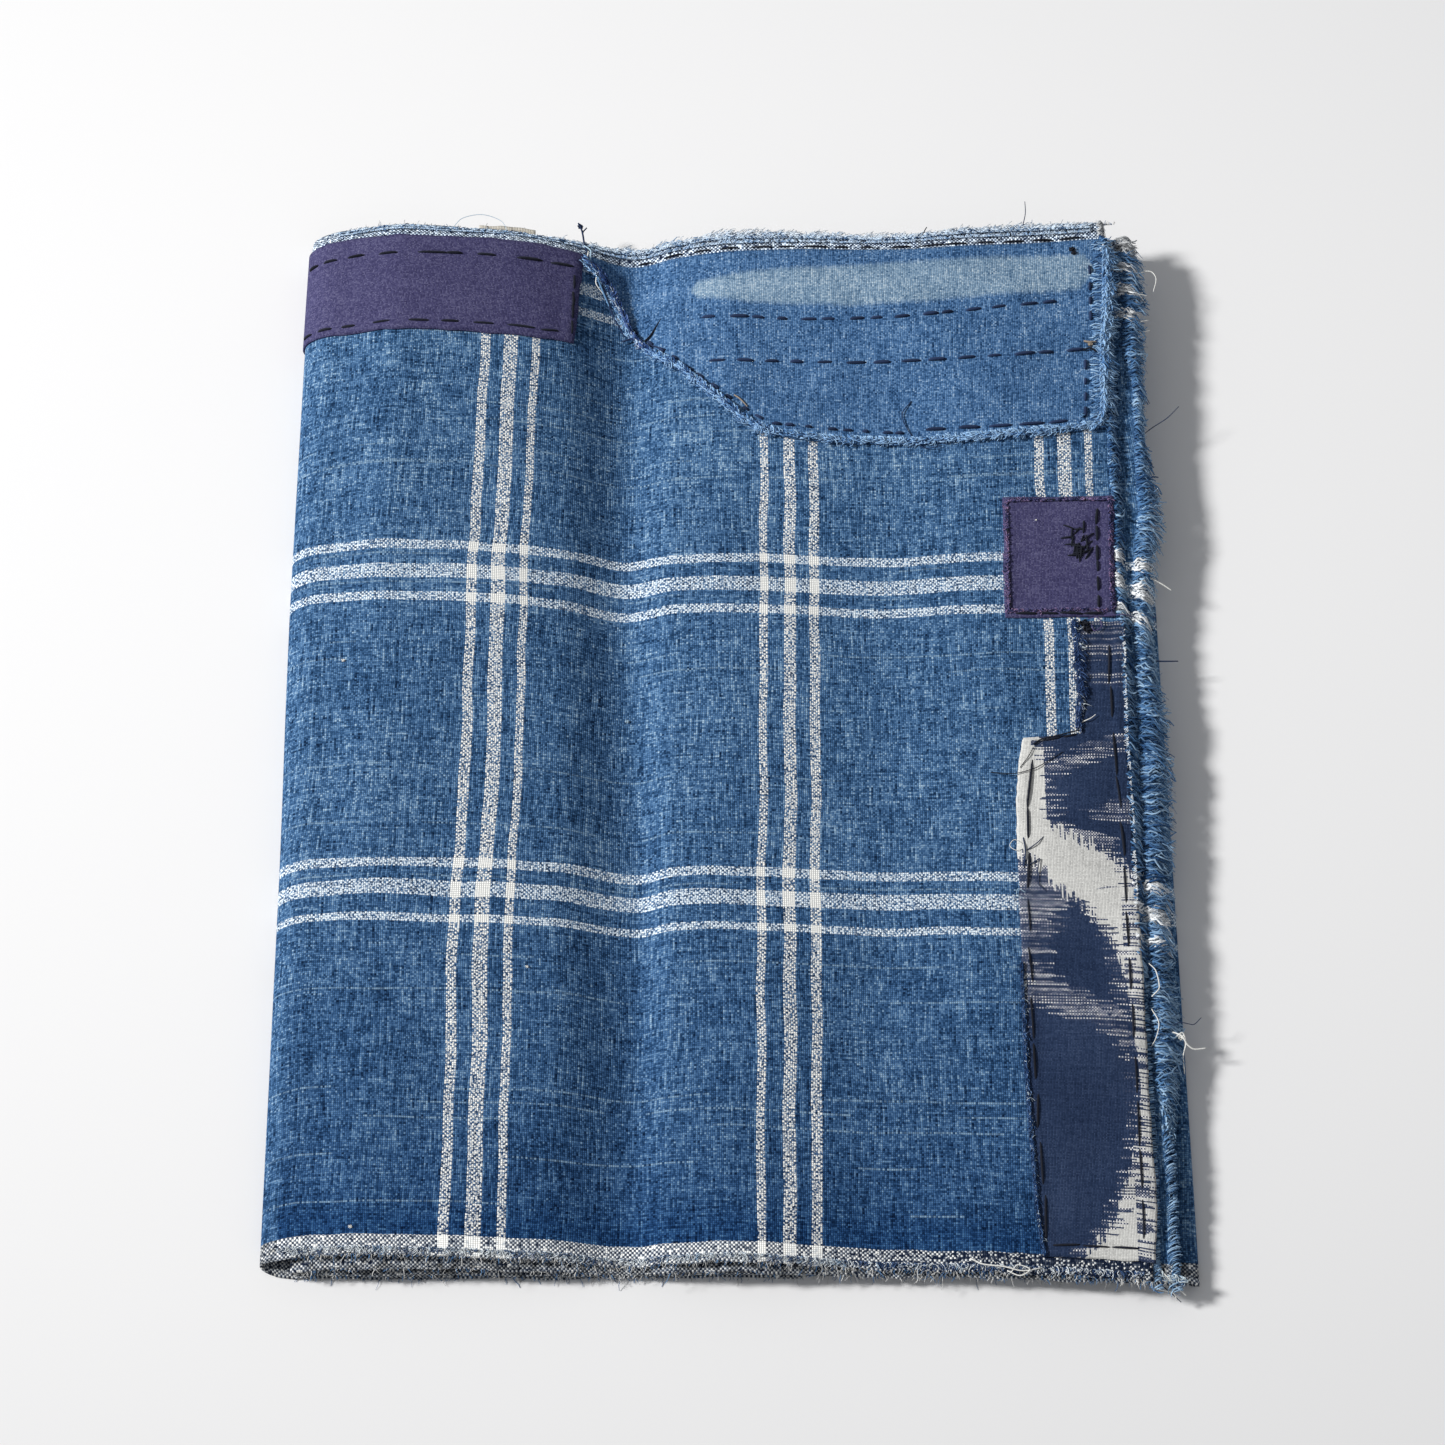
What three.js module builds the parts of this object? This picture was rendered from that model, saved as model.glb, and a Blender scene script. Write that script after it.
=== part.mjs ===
// A boro cloth: one handwoven indigo cotton strip with patches sewn to it, folded in quarters
// and lying flat. Lengths are in millimetres. X runs along the strip, Y across the loom
// from the near selvedge to the far one, and Z up from the surface that the cloth lies on.
import * as THREE from "three";

// Driving dimensions
const LOOM_WIDTH = 337;
const CLOTH_THICKNESS = 1.0;
const PATCH_THICKNESS = 1.0;
const PIECE_GAP = 0.4;
const NEAR_SELVEDGE_Y = -172.8;
const SELVEDGE_BAND = 6.5;
const FOLDED_LENGTH = 258;

// The rows of the weave run a little downhill to the right. The two right corners are pulled out.
const WEAVE_SKEW = 0.0225;
const CORNER = { farPull: 5, nearPull: 2.2, startX: 40, reach: 78 };

// The folds at the left, one inside the other, and the fold at the right.
const OUTER_NOSE_DEPTH = 9.5;
const INNER_NOSE_INSET = 8.5;
const INNER_NOSE_DEPTH = 4.5;
const RIGHT_FOLD_X = { near: 131, far: 128.6 };
const RIGHT_FOLD_DEPTH = 2.2;

// The cut ends of the first and the second layer, and their frayed yarns.
const TOP_END_X = 118;
const SECOND_END_X = { near: 123.6, far: 126.6 };
const FRINGE_GAP = 0.35;
const FRINGE_STRIP = 1.8;
const STRAND_SPLAY = 0.8;
const STRAND_DROP = 0.2;
const FRINGE = {
  top: { strands: 84, reach: 3.6, uneven: 1.2 },
  second: { strands: 84, reach: 3.4, uneven: 1.4 },
  patch: { strands: 16, reach: 2.6, uneven: 0.8 },
};

// Where the height of the top layer is given along the strip; the valley and the nose wander.
const STATION = { crest: -98, back: -66, brink: -49, rise: -14, lobe: 4, dip: 44, far: 84 };

// The height of the top layer's upper face, one row for each place across the loom.
const RELIEF = [
  { across: 0.0, nose: 8.2, crest: 11.2, back: 10.9, brink: 9.8, valley: 5.3,
    rise: 8.8, lobe: 11.5, dip: 7.5, far: 9.0, end: 9.2, valleyX: -27.0, foldX: -127.2 },
  { across: 109.5, nose: 12.0, crest: 14.4, back: 13.8, brink: 12.6, valley: 5.3,
    rise: 11.2, lobe: 12.9, dip: 10.3, far: 13.2, end: 13.0, valleyX: -24.5, foldX: -127.6 },
  { across: 214.0, nose: 12.8, crest: 16.9, back: 15.4, brink: 12.8, valley: 5.4,
    rise: 10.9, lobe: 12.6, dip: 10.7, far: 15.0, end: 15.0, valleyX: -29.0, foldX: -129.0 },
  { across: 330.5, nose: 16.5, crest: 21.2, back: 19.2, brink: 15.2, valley: 5.3,
    rise: 11.0, lobe: 15.8, dip: 17.5, far: 19.5, end: 18.8, valleyX: -28.0, foldX: -128.4 },
  { across: 337.0, nose: 12.8, crest: 17.6, back: 14.4, brink: 10.6, valley: 5.1,
    rise: 10.5, lobe: 16.0, dip: 15.4, far: 19.0, end: 18.0, valleyX: -27.0, foldX: -128.2 },
];

// How far each layer has slipped along Y against the top one, at its four corners.
const SLIP = {
  top: { leftNear: 0, leftFar: 0, rightNear: 0, rightFar: 0 },
  second: { leftNear: -3.5, leftFar: -3, rightNear: 0, rightFar: -4.5 },
  third: { leftNear: -4.5, leftFar: -2, rightNear: 2, rightFar: -3 },
  lowest: { leftNear: -4.5, leftFar: -1, rightNear: 3, rightFar: -3 },
};

// Each layer's share of the height between the floor and the top layer.
const SHARE = { second: 2 / 3, third: 1 / 3 };

// A smooth curve through points that never overshoots them, clamped at both ends.
function smoothCurve(xs, ys) {
  const widths = xs.slice(1).map((x, i) => x - xs[i]);
  const slopes = widths.map((width, i) => (ys[i + 1] - ys[i]) / width);
  const tangents = xs.map((_, i) => {
    if (i === 0) return slopes[0];
    if (i === slopes.length) return slopes[i - 1];
    if (slopes[i - 1] * slopes[i] <= 0) return 0;
    const before = 2 * widths[i] + widths[i - 1];
    const after = widths[i] + 2 * widths[i - 1];
    return (before + after) / (before / slopes[i - 1] + after / slopes[i]);
  });
  return (at) => {
    const x = THREE.MathUtils.clamp(at, xs[0], xs[xs.length - 1]);
    let i = 0;
    while (i < widths.length - 1 && x > xs[i + 1]) i += 1;
    const width = widths[i];
    const t = (x - xs[i]) / width;
    const rising = t * t * (3 - 2 * t);
    const leaving = t * (1 - t) ** 2 * width * tangents[i];
    const arriving = t * t * (t - 1) * width * tangents[i + 1];
    return (1 - rising) * ys[i] + rising * ys[i + 1] + leaving + arriving;
  };
}

// The relief's columns as smooth curves across the loom.
const ACROSS = RELIEF.map((row) => row.across);
const COLUMN = Object.fromEntries(
  Object.keys(RELIEF[0]).map((name) => [name, smoothCurve(ACROSS, RELIEF.map((row) => row[name]))]),
);

// The top layer's mid-surface height as a function of X, at one place across the loom.
const FLOOR_MID = CLOTH_THICKNESS / 2;
const noseStart = (across) => COLUMN.foldX(across) + OUTER_NOSE_DEPTH;

function topHeight(across) {
  const at = (name) => COLUMN[name](across) - CLOTH_THICKNESS / 2;
  const stations = [
    { x: noseStart(across), z: at("nose") },
    { x: STATION.crest, z: at("crest") },
    { x: STATION.back, z: at("back") },
    { x: STATION.brink, z: at("brink") },
    { x: COLUMN.valleyX(across), z: at("valley") },
    { x: STATION.rise, z: at("rise") },
    { x: STATION.lobe, z: at("lobe") },
    { x: STATION.dip, z: at("dip") },
    { x: STATION.far, z: at("far") },
    { x: TOP_END_X, z: at("end") },
  ];
  return smoothCurve(stations.map((s) => s.x), stations.map((s) => s.z));
}

// Y of the weave at a place on the strip, with the slip of its layer.
function weaveY(x, across, slip) {
  const towards = Math.max(0, (x - CORNER.startX) / CORNER.reach) ** 2;
  const far = across / LOOM_WIDTH;
  const pull = towards * (CORNER.farPull * far ** 2 - CORNER.nearPull * (1 - far) ** 2);
  return NEAR_SELVEDGE_Y + across - WEAVE_SKEW * x + pull + slip;
}

function slipAt(layer, x, across) {
  const along = THREE.MathUtils.clamp((x - COLUMN.foldX(across)) / FOLDED_LENGTH, 0, 1);
  const far = across / LOOM_WIDTH;
  const { lerp } = THREE.MathUtils;
  const corners = SLIP[layer];
  return lerp(
    lerp(corners.leftNear, corners.leftFar, far),
    lerp(corners.rightNear, corners.rightFar, far),
    along,
  );
}

// A fold: a half ellipse from the layer above it to the layer below, leaning to meet the slope above.
// turn goes from 1 at the upper layer through 0 at the fold's edge to -1 at the lower layer.
function foldPoint(fold, turn) {
  const middle = (fold.upperZ + fold.lowerZ) / 2;
  const half = (fold.upperZ - fold.lowerZ) / 2;
  const angle = (turn * Math.PI) / 2;
  const out = fold.depth * Math.cos(angle);
  const lean = fold.slope * out * ((1 + Math.sin(angle)) / 2);
  return { x: fold.x + fold.side * out, z: middle + half * Math.sin(angle) + fold.side * lean };
}

function outerFold(across) {
  const height = topHeight(across);
  const x = noseStart(across);
  const slope = height(x + 1) - height(x);
  return { x, side: -1, depth: OUTER_NOSE_DEPTH, upperZ: height(x), lowerZ: FLOOR_MID, slope };
}

function innerFold(across) {
  const x = COLUMN.foldX(across) + INNER_NOSE_INSET + INNER_NOSE_DEPTH;
  const rise = topHeight(across)(x) - FLOOR_MID;
  const upperZ = FLOOR_MID + SHARE.second * rise;
  const lowerZ = FLOOR_MID + SHARE.third * rise;
  return { x, side: -1, depth: INNER_NOSE_DEPTH, upperZ, lowerZ, slope: 0 };
}

function rightFold(across) {
  const edge = THREE.MathUtils.lerp(RIGHT_FOLD_X.near, RIGHT_FOLD_X.far, across / LOOM_WIDTH);
  const x = edge - RIGHT_FOLD_DEPTH;
  const rise = topHeight(across)(x) - FLOOR_MID;
  const upperZ = FLOOR_MID + SHARE.third * rise;
  return { x, side: 1, depth: RIGHT_FOLD_DEPTH, upperZ, lowerZ: FLOOR_MID, slope: 0 };
}

// X of the steps along the layers: close together in the valley, wider elsewhere.
function spacedX(from, to, step) {
  const count = Math.round((to - from) / step);
  return Array.from({ length: count }, (_, i) => from + ((to - from) * i) / count);
}
const STEPS_X = [
  ...spacedX(-105, -49, 8),
  ...spacedX(-49, 11, 4),
  ...spacedX(11, 111, 10),
  111,
];
const FLAT_STEPS_X = spacedX(-105, 111, 24).concat(111);
const NOSE_TURNS = 8;
const TIGHT_TURNS = 6;

// One section of the folded strip: its mid-line from the top layer's cut end, round the outer
// fold, along the lowest layer, round the right fold, back along the third layer, round the
// inner fold and along the second layer to its cut end.
function sectionLine(across) {
  const height = topHeight(across);
  const line = [];
  const lay = (layer, share, xs) => {
    for (const x of xs) {
      const z = FLOOR_MID + share * (height(x) - FLOOR_MID);
      line.push({ x, z, slip: slipAt(layer, x, across) });
    }
  };
  const turn = (fold, from, to, layers, turns) => {
    for (let i = 1; i < turns; i += 1) {
      const share = i / turns;
      const point = foldPoint(fold, THREE.MathUtils.lerp(from, to, share));
      const [start, end] = layers.map((layer) => slipAt(layer, fold.x, across));
      line.push({ ...point, slip: THREE.MathUtils.lerp(start, end, share) });
    }
  };
  const outer = outerFold(across);
  const inner = innerFold(across);
  const right = rightFold(across);
  const secondEnd = THREE.MathUtils.lerp(SECOND_END_X.near, SECOND_END_X.far, across / LOOM_WIDTH);
  const leftwards = [...STEPS_X].reverse();
  lay("top", 1, [TOP_END_X, ...leftwards, outer.x]);
  turn(outer, 1, -1, ["top", "lowest"], NOSE_TURNS);
  lay("lowest", 0, [outer.x, ...FLAT_STEPS_X, right.x]);
  turn(right, -1, 1, ["lowest", "third"], TIGHT_TURNS);
  lay("third", SHARE.third, [right.x, ...leftwards, inner.x]);
  turn(inner, -1, 1, ["third", "second"], TIGHT_TURNS);
  lay("second", SHARE.second, [inner.x, ...STEPS_X, secondEnd]);
  return line;
}

// The point at a distance off a mid-line, square to it in the plane of the section.
function offLine(line, i, distance) {
  const before = line[Math.max(i - 1, 0)];
  const after = line[Math.min(i + 1, line.length - 1)];
  const length = Math.hypot(after.x - before.x, after.z - before.z);
  const point = line[i];
  return {
    x: point.x + ((after.z - before.z) / length) * distance,
    z: point.z - ((after.x - before.x) / length) * distance,
  };
}

// A closed sheet from a grid of points on its face and one on its back. Rows run across the
// loom, columns along the strip, and the four edges are closed by single strips.
function closedSheet(face, back) {
  const rows = face.length;
  const columns = face[0].length;
  const positions = [...face.flat(), ...back.flat()].flatMap((p) => [p.x, p.y, p.z]);
  const onFace = (row, column) => row * columns + column;
  const onBack = (row, column) => rows * columns + onFace(row, column);
  const index = [];
  const quad = (a, b, c, d) => index.push(a, b, c, a, c, d);
  for (let r = 0; r < rows - 1; r += 1) {
    for (let c = 0; c < columns - 1; c += 1) {
      quad(onFace(r, c), onFace(r, c + 1), onFace(r + 1, c + 1), onFace(r + 1, c));
      quad(onBack(r, c), onBack(r + 1, c), onBack(r + 1, c + 1), onBack(r, c + 1));
    }
  }
  const last = { row: rows - 1, column: columns - 1 };
  for (let c = 0; c < last.column; c += 1) {
    quad(onFace(0, c), onBack(0, c), onBack(0, c + 1), onFace(0, c + 1));
    quad(onFace(last.row, c), onFace(last.row, c + 1), onBack(last.row, c + 1), onBack(last.row, c));
  }
  for (let r = 0; r < last.row; r += 1) {
    quad(onFace(r, 0), onFace(r + 1, 0), onBack(r + 1, 0), onBack(r, 0));
    quad(
      onFace(r, last.column), onBack(r, last.column),
      onBack(r + 1, last.column), onFace(r + 1, last.column),
    );
  }
  return facingOut(positions, index);
}

// The geometry of a closed shell, with its triangles turned round if they enclose it inside out.
function facingOut(positions, index) {
  const geometry = new THREE.BufferGeometry();
  geometry.setAttribute("position", new THREE.Float32BufferAttribute(positions, 3));
  const corner = (i) => new THREE.Vector3().fromArray(positions, 3 * index[i]);
  let volume = 0;
  for (let i = 0; i < index.length; i += 3) {
    volume += corner(i).dot(corner(i + 1).cross(corner(i + 2)));
  }
  geometry.setIndex(volume < 0 ? index.reverse() : index);
  geometry.computeVertexNormals();
  return geometry;
}

// The folded strip, one section for each place across the loom.
const SECTIONS_ACROSS = [
  0, 36, 73, 109.5, 144, 179, 214, 253, 292, LOOM_WIDTH - SELVEDGE_BAND, LOOM_WIDTH,
];

function clothGeometry() {
  const half = CLOTH_THICKNESS / 2;
  const side = (distance) => SECTIONS_ACROSS.map((across) => {
    const line = sectionLine(across);
    return line.map((point, i) => {
      const { x, z } = offLine(line, i, distance);
      return { x, y: weaveY(x, across, point.slip), z };
    });
  });
  return closedSheet(side(half), side(-half));
}

// A point above the top layer. lift is the distance from its mid-surface, square to it.
function aboveTop(x, across, lift) {
  const height = topHeight(across);
  const slope = height(x + 0.5) - height(x - 0.5);
  const length = Math.hypot(1, slope);
  const px = x - (slope / length) * lift;
  return { x: px, y: weaveY(px, across, 0), z: height(x) + lift / length };
}

// A point outside the outer fold. turn is as for foldPoint.
function aroundNose(turn, across, lift) {
  const fold = outerFold(across);
  const step = 0.02;
  const before = foldPoint(fold, Math.min(turn + step, 1));
  const after = foldPoint(fold, turn - step);
  const length = Math.hypot(after.x - before.x, after.z - before.z);
  const point = foldPoint(fold, turn);
  const x = point.x + ((after.z - before.z) / length) * lift;
  const z = point.z - ((after.x - before.x) / length) * lift;
  return { x, y: weaveY(x, across, 0), z };
}

const PATCH_LIFT = {
  back: CLOTH_THICKNESS / 2 + PIECE_GAP,
  face: CLOTH_THICKNESS / 2 + PIECE_GAP + PATCH_THICKNESS,
};

// The steps of a patch along the strip: its two ends and the cloth's own steps between them.
function patchSteps(from, to) {
  const clear = 1.5;
  return [from, ...STEPS_X.filter((x) => x > from + clear && x < to - clear), to];
}

// Evenly spaced places across the loom, from one distance to another.
const spread = (from, to, count) =>
  Array.from({ length: count + 1 }, (_, i) => from + ((to - from) * i) / count);

const FAR_SEAM = LOOM_WIDTH - SELVEDGE_BAND;

// The long purple patch: from its right edge over the crest and round the outer fold.
const PURPLE_LONG = {
  rightFar: -43.6, rightNear: -46, near: 296.2, rows: 4, wrapTurn: -0.45, wrapSteps: 7,
};

function purpleLongGeometry() {
  const side = (lift) => spread(PURPLE_LONG.near, FAR_SEAM, PURPLE_LONG.rows).map((across) => {
    const share = (across - PURPLE_LONG.near) / (FAR_SEAM - PURPLE_LONG.near);
    const right = THREE.MathUtils.lerp(PURPLE_LONG.rightNear, PURPLE_LONG.rightFar, share);
    const flat = patchSteps(noseStart(across), right).reverse();
    const turns = spread(1, PURPLE_LONG.wrapTurn, PURPLE_LONG.wrapSteps).slice(1);
    return [
      ...flat.map((x) => aboveTop(x, across, lift)),
      ...turns.map((turn) => aroundNose(turn, across, lift)),
    ];
  });
  return closedSheet(side(PATCH_LIFT.face), side(PATCH_LIFT.back));
}

// The indigo patch: its lower edge slants up to the left along a torn line.
const INDIGO_LOWER_EDGE = [
  { x: -42.6, across: 326.5 },
  { x: -38, across: 322 },
  { x: -33, across: 313 },
  { x: -29, across: 305 },
  { x: -22, across: 297 },
  { x: -14, across: 290 },
  { x: -1, across: 276.5 },
  { x: 11, across: 266 },
  { x: 20, across: 263.5 },
  { x: 69, across: 261.8 },
  { x: 117, across: 264.8 },
];
const INDIGO = { rightFar: 119.5, rightNear: 116.2, rows: 5 };

function indigoGeometry() {
  const lowerEdge = smoothCurve(
    INDIGO_LOWER_EDGE.map((point) => point.x),
    INDIGO_LOWER_EDGE.map((point) => point.across),
  );
  const columns = patchSteps(INDIGO_LOWER_EDGE[0].x, INDIGO.rightNear);
  const right = columns.length - 1;
  const side = (lift) => spread(0, 1, INDIGO.rows).map((share) => columns.map((step, i) => {
    const lean = i === right ? share * (INDIGO.rightFar - INDIGO.rightNear) : 0;
    const x = step + lean;
    const near = lowerEdge(x);
    return aboveTop(x, THREE.MathUtils.lerp(near, FAR_SEAM, share), lift);
  }));
  return closedSheet(side(PATCH_LIFT.face), side(PATCH_LIFT.back));
}

// A patch given by its left and right edge at some places across the loom, with extra rows
// between those places where they lie far apart.
function sidedPatch(edges, columns) {
  const farthest = 20;
  const places = edges.map((edge) => edge.across);
  const left = smoothCurve(places, edges.map((edge) => edge.left));
  const right = smoothCurve(places, edges.map((edge) => edge.right));
  const rows = places.slice(1).flatMap((place, i) => {
    const count = Math.ceil((place - places[i]) / farthest);
    return spread(places[i], place, count).slice(0, -1);
  });
  rows.push(places.at(-1));
  const side = (lift) => rows.map((across) =>
    spread(left(across), right(across), columns).map((x) => aboveTop(x, across, lift)));
  return closedSheet(side(PATCH_LIFT.face), side(PATCH_LIFT.back));
}

const SQUARE_EDGES = [
  { across: 201.4, left: 85, right: 116.2 },
  { across: 240, left: 84.2, right: 116.9 },
];

// The ikat patch: wide below, and narrow above the step in its left edge.
const IKAT_EDGES = [
  { across: 4.8, left: 88.4, right: 118.6 },
  { across: 20, left: 86.7, right: 119.8 },
  { across: 49, left: 85.2, right: 119.2 },
  { across: 91, left: 84.9, right: 119 },
  { across: 128, left: 84.8, right: 118.3 },
  { across: 161.5, left: 87.6, right: 117.8 },
  { across: 163, left: 103.6, right: 117.8 },
  { across: 200, left: 104.2, right: 119 },
];

// The small scrap: it lies on the second layer and peeks out behind the far selvedge.
const SCRAP = { left: -76, right: -58.5, near: 324, beyond: 5.5, columns: 3 };

function scrapGeometry() {
  const columns = spread(SCRAP.left, SCRAP.right, SCRAP.columns);
  const side = (lift) => [0, 0.5, 1].map((share) => columns.map((x) => {
    const across = THREE.MathUtils.lerp(SCRAP.near, LOOM_WIDTH, share);
    const past = share === 1 ? SCRAP.beyond : 0;
    const z = FLOOR_MID + SHARE.second * (topHeight(across)(x) - FLOOR_MID) + lift;
    return { x, y: weaveY(x, across, slipAt("second", x, across)) + past, z };
  }));
  return closedSheet(side(PATCH_LIFT.face), side(PATCH_LIFT.back));
}

// A fixed, uneven spread of numbers from -1 to 1, one for each strand and use.
function unevenness(i, use) {
  const wave = Math.sin(i * 12.9898 + use * 78.233) * 43758.5453;
  return 2 * (wave - Math.floor(wave)) - 1;
}

// A frayed edge: a narrow strip along the cut edge, with a tapered strand of four sides for
// every second step. rootAt gives the strip's inner edge, mid-height and Y at a share of its length.
function fringeGeometry({ strands, reach, uneven }, thickness, rootAt) {
  const half = thickness / 2;
  const steps = 2 * strands;
  const positions = [];
  const point = (x, y, z) => positions.push(x, y, z) / 3 - 1;
  const stations = spread(0, 1, steps).map((share) => {
    const root = rootAt(share);
    const outerX = root.x + FRINGE_STRIP;
    return {
      innerTop: point(root.x, root.y, root.z + half),
      innerLow: point(root.x, root.y, root.z - half),
      outerTop: point(outerX, root.y, root.z + half),
      outerLow: point(outerX, root.y, root.z - half),
      root,
    };
  });
  const index = [];
  const quad = (a, b, c, d) => index.push(a, b, c, a, c, d);
  for (let i = 0; i < steps; i += 1) {
    const [a, b] = [stations[i], stations[i + 1]];
    quad(a.innerTop, a.outerTop, b.outerTop, b.innerTop);
    quad(a.innerLow, b.innerLow, b.outerLow, a.outerLow);
    quad(a.innerTop, b.innerTop, b.innerLow, a.innerLow);
    if (i % 2) {
      quad(a.outerTop, a.outerLow, b.outerLow, b.outerTop);
    } else {
      const tip = point(
        a.root.x + FRINGE_STRIP + reach + uneven * unevenness(i, 1),
        (a.root.y + b.root.y) / 2 + STRAND_SPLAY * unevenness(i, 2),
        a.root.z + STRAND_DROP * unevenness(i, 3),
      );
      const ring = [a.outerTop, a.outerLow, b.outerLow, b.outerTop];
      ring.forEach((corner, k) => index.push(corner, ring[(k + 1) % 4], tip));
    }
  }
  const [first, last] = [stations[0], stations[steps]];
  quad(first.innerTop, first.innerLow, first.outerLow, first.outerTop);
  quad(last.innerTop, last.outerTop, last.outerLow, last.innerLow);
  return facingOut(positions, index);
}

function topFringeRoot(share) {
  const across = share * LOOM_WIDTH;
  const x = TOP_END_X + FRINGE_GAP;
  return { x, y: weaveY(x, across, 0), z: topHeight(across)(TOP_END_X) };
}

function secondFringeRoot(share) {
  const across = share * LOOM_WIDTH;
  const x = THREE.MathUtils.lerp(SECOND_END_X.near, SECOND_END_X.far, share) + FRINGE_GAP;
  const z = FLOOR_MID + SHARE.second * (topHeight(across)(x) - FLOOR_MID);
  return { x, y: weaveY(x, across, slipAt("second", x, across)), z };
}

function patchFringeRoot(share) {
  const across = THREE.MathUtils.lerp(INDIGO_LOWER_EDGE.at(-1).across + 1, FAR_SEAM - 1, share);
  const x = THREE.MathUtils.lerp(INDIGO.rightNear, INDIGO.rightFar, share) + FRINGE_GAP;
  const lift = (PATCH_LIFT.face + PATCH_LIFT.back) / 2;
  return { x, y: weaveY(x, across, 0), z: topHeight(across)(x) + lift };
}

// The finishes of the pieces.
const finish = (color, roughness) => new THREE.MeshStandardMaterial({ color, roughness });
const indigoCotton = finish("#3f6189", 0.95);
const purpleCotton = finish("#4d4674", 0.93);
const patchIndigo = finish("#3a5c8c", 0.94);
const ikatCotton = finish("#5a638a", 0.94);
const offWhiteCotton = finish("#c9c3b4", 0.92);
const frayedYarn = finish("#6f86a6", 0.97);

const cloth = new THREE.Group();

function add(name, geometry, material) {
  const mesh = new THREE.Mesh(geometry, material);
  mesh.name = name;
  cloth.add(mesh);
}

add("cloth", clothGeometry(), indigoCotton);
add("patch_purple_long", purpleLongGeometry(), purpleCotton);
add("patch_indigo", indigoGeometry(), patchIndigo);
add("patch_purple_square", sidedPatch(SQUARE_EDGES, 4), purpleCotton);
add("patch_ikat", sidedPatch(IKAT_EDGES, 5), ikatCotton);
add("patch_scrap", scrapGeometry(), offWhiteCotton);
add("fringe_top_layer", fringeGeometry(FRINGE.top, CLOTH_THICKNESS, topFringeRoot), frayedYarn);
add(
  "fringe_second_layer",
  fringeGeometry(FRINGE.second, CLOTH_THICKNESS, secondFringeRoot),
  frayedYarn,
);
add(
  "fringe_indigo_patch",
  fringeGeometry(FRINGE.patch, PATCH_THICKNESS, patchFringeRoot),
  frayedYarn,
);

// The origin is on the surface, under the middle of the whole.
const box = new THREE.Box3().setFromObject(cloth, true);
const middle = box.getCenter(new THREE.Vector3());
cloth.position.set(-middle.x, -middle.y, -box.min.z);

export default cloth;
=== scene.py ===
import bpy
import numpy as np
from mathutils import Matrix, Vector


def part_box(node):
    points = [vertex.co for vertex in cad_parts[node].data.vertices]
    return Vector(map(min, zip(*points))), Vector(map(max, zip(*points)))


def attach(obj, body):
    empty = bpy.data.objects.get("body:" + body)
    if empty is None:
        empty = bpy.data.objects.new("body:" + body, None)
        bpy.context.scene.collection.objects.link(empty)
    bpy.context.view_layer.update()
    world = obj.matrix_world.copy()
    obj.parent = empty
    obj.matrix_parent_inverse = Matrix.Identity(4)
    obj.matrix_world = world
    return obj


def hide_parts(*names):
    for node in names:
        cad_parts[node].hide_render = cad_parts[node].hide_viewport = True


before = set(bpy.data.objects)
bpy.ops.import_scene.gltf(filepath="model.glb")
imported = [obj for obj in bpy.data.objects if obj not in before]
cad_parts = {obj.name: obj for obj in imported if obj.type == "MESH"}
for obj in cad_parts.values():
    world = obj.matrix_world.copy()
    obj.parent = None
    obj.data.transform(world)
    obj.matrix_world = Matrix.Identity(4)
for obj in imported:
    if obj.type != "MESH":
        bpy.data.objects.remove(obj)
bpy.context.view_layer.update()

# The woven strip. One length of handspun cotton, dyed with indigo and woven on a narrow loom,
# with a check of white triple stripes. It is folded in quarters: two folds at the left, one
# inside the other, one fold at the right, and both cut ends lie above that fold.
MM = 0.001
LOOM_WIDTH = 337.0
NEAR_SELVEDGE_Y = -172.8
FOLDED_LENGTH = 258.0
WEAVE_SKEW = 0.0225
CORNER_PULL = {"far": 5.0, "near": 2.2, "start_x": 40.0, "reach": 78.0}
CLOTH_THICKNESS = 0.7
FLOOR_MID = 0.5
OUTER_NOSE_DEPTH = 9.5
INNER_NOSE_INSET = 8.5
INNER_NOSE_DEPTH = 4.5
RIGHT_FOLD_X = {"near": 131.0, "far": 128.6}
RIGHT_FOLD_DEPTH = 2.2
TOP_END_X = 118.0
SECOND_END_X = {"near": 123.6, "far": 126.6}
LEFT_EDGE_X = -129.5

# Heights of the top layer's upper face at stations along the strip, a row for each place across,
# and last the X of the valley and of the left fold's outermost line.
STATION_X = {"crest": -98, "back": -66, "brink": -49, "rise": -14, "lobe": 4, "dip": 44, "far": 84}
RELIEF = np.array(
    [
        (0.0, 8.2, 11.2, 10.9, 9.8, 5.3, 8.8, 11.5, 7.5, 9.0, 9.2, -27.0, -127.2),
        (109.5, 12.0, 14.4, 13.8, 12.6, 5.3, 11.2, 12.9, 10.3, 13.2, 13.0, -24.5, -127.6),
        (214.0, 12.8, 16.9, 15.4, 12.8, 5.4, 10.9, 12.6, 10.7, 15.0, 15.0, -29.0, -129.0),
        (330.5, 16.5, 21.2, 19.2, 15.2, 5.3, 11.0, 15.8, 17.5, 19.5, 18.8, -28.0, -128.4),
        (337.0, 12.8, 17.6, 14.4, 10.6, 5.1, 10.5, 16.0, 15.4, 19.0, 18.0, -27.0, -128.2),
    ],
    dtype=[
        (name, float)
        for name in (
            "across", "nose", "crest", "back", "brink", "valley", "rise",
            "lobe", "dip", "far", "end", "valley_x", "fold_x",
        )
    ],
)
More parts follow.
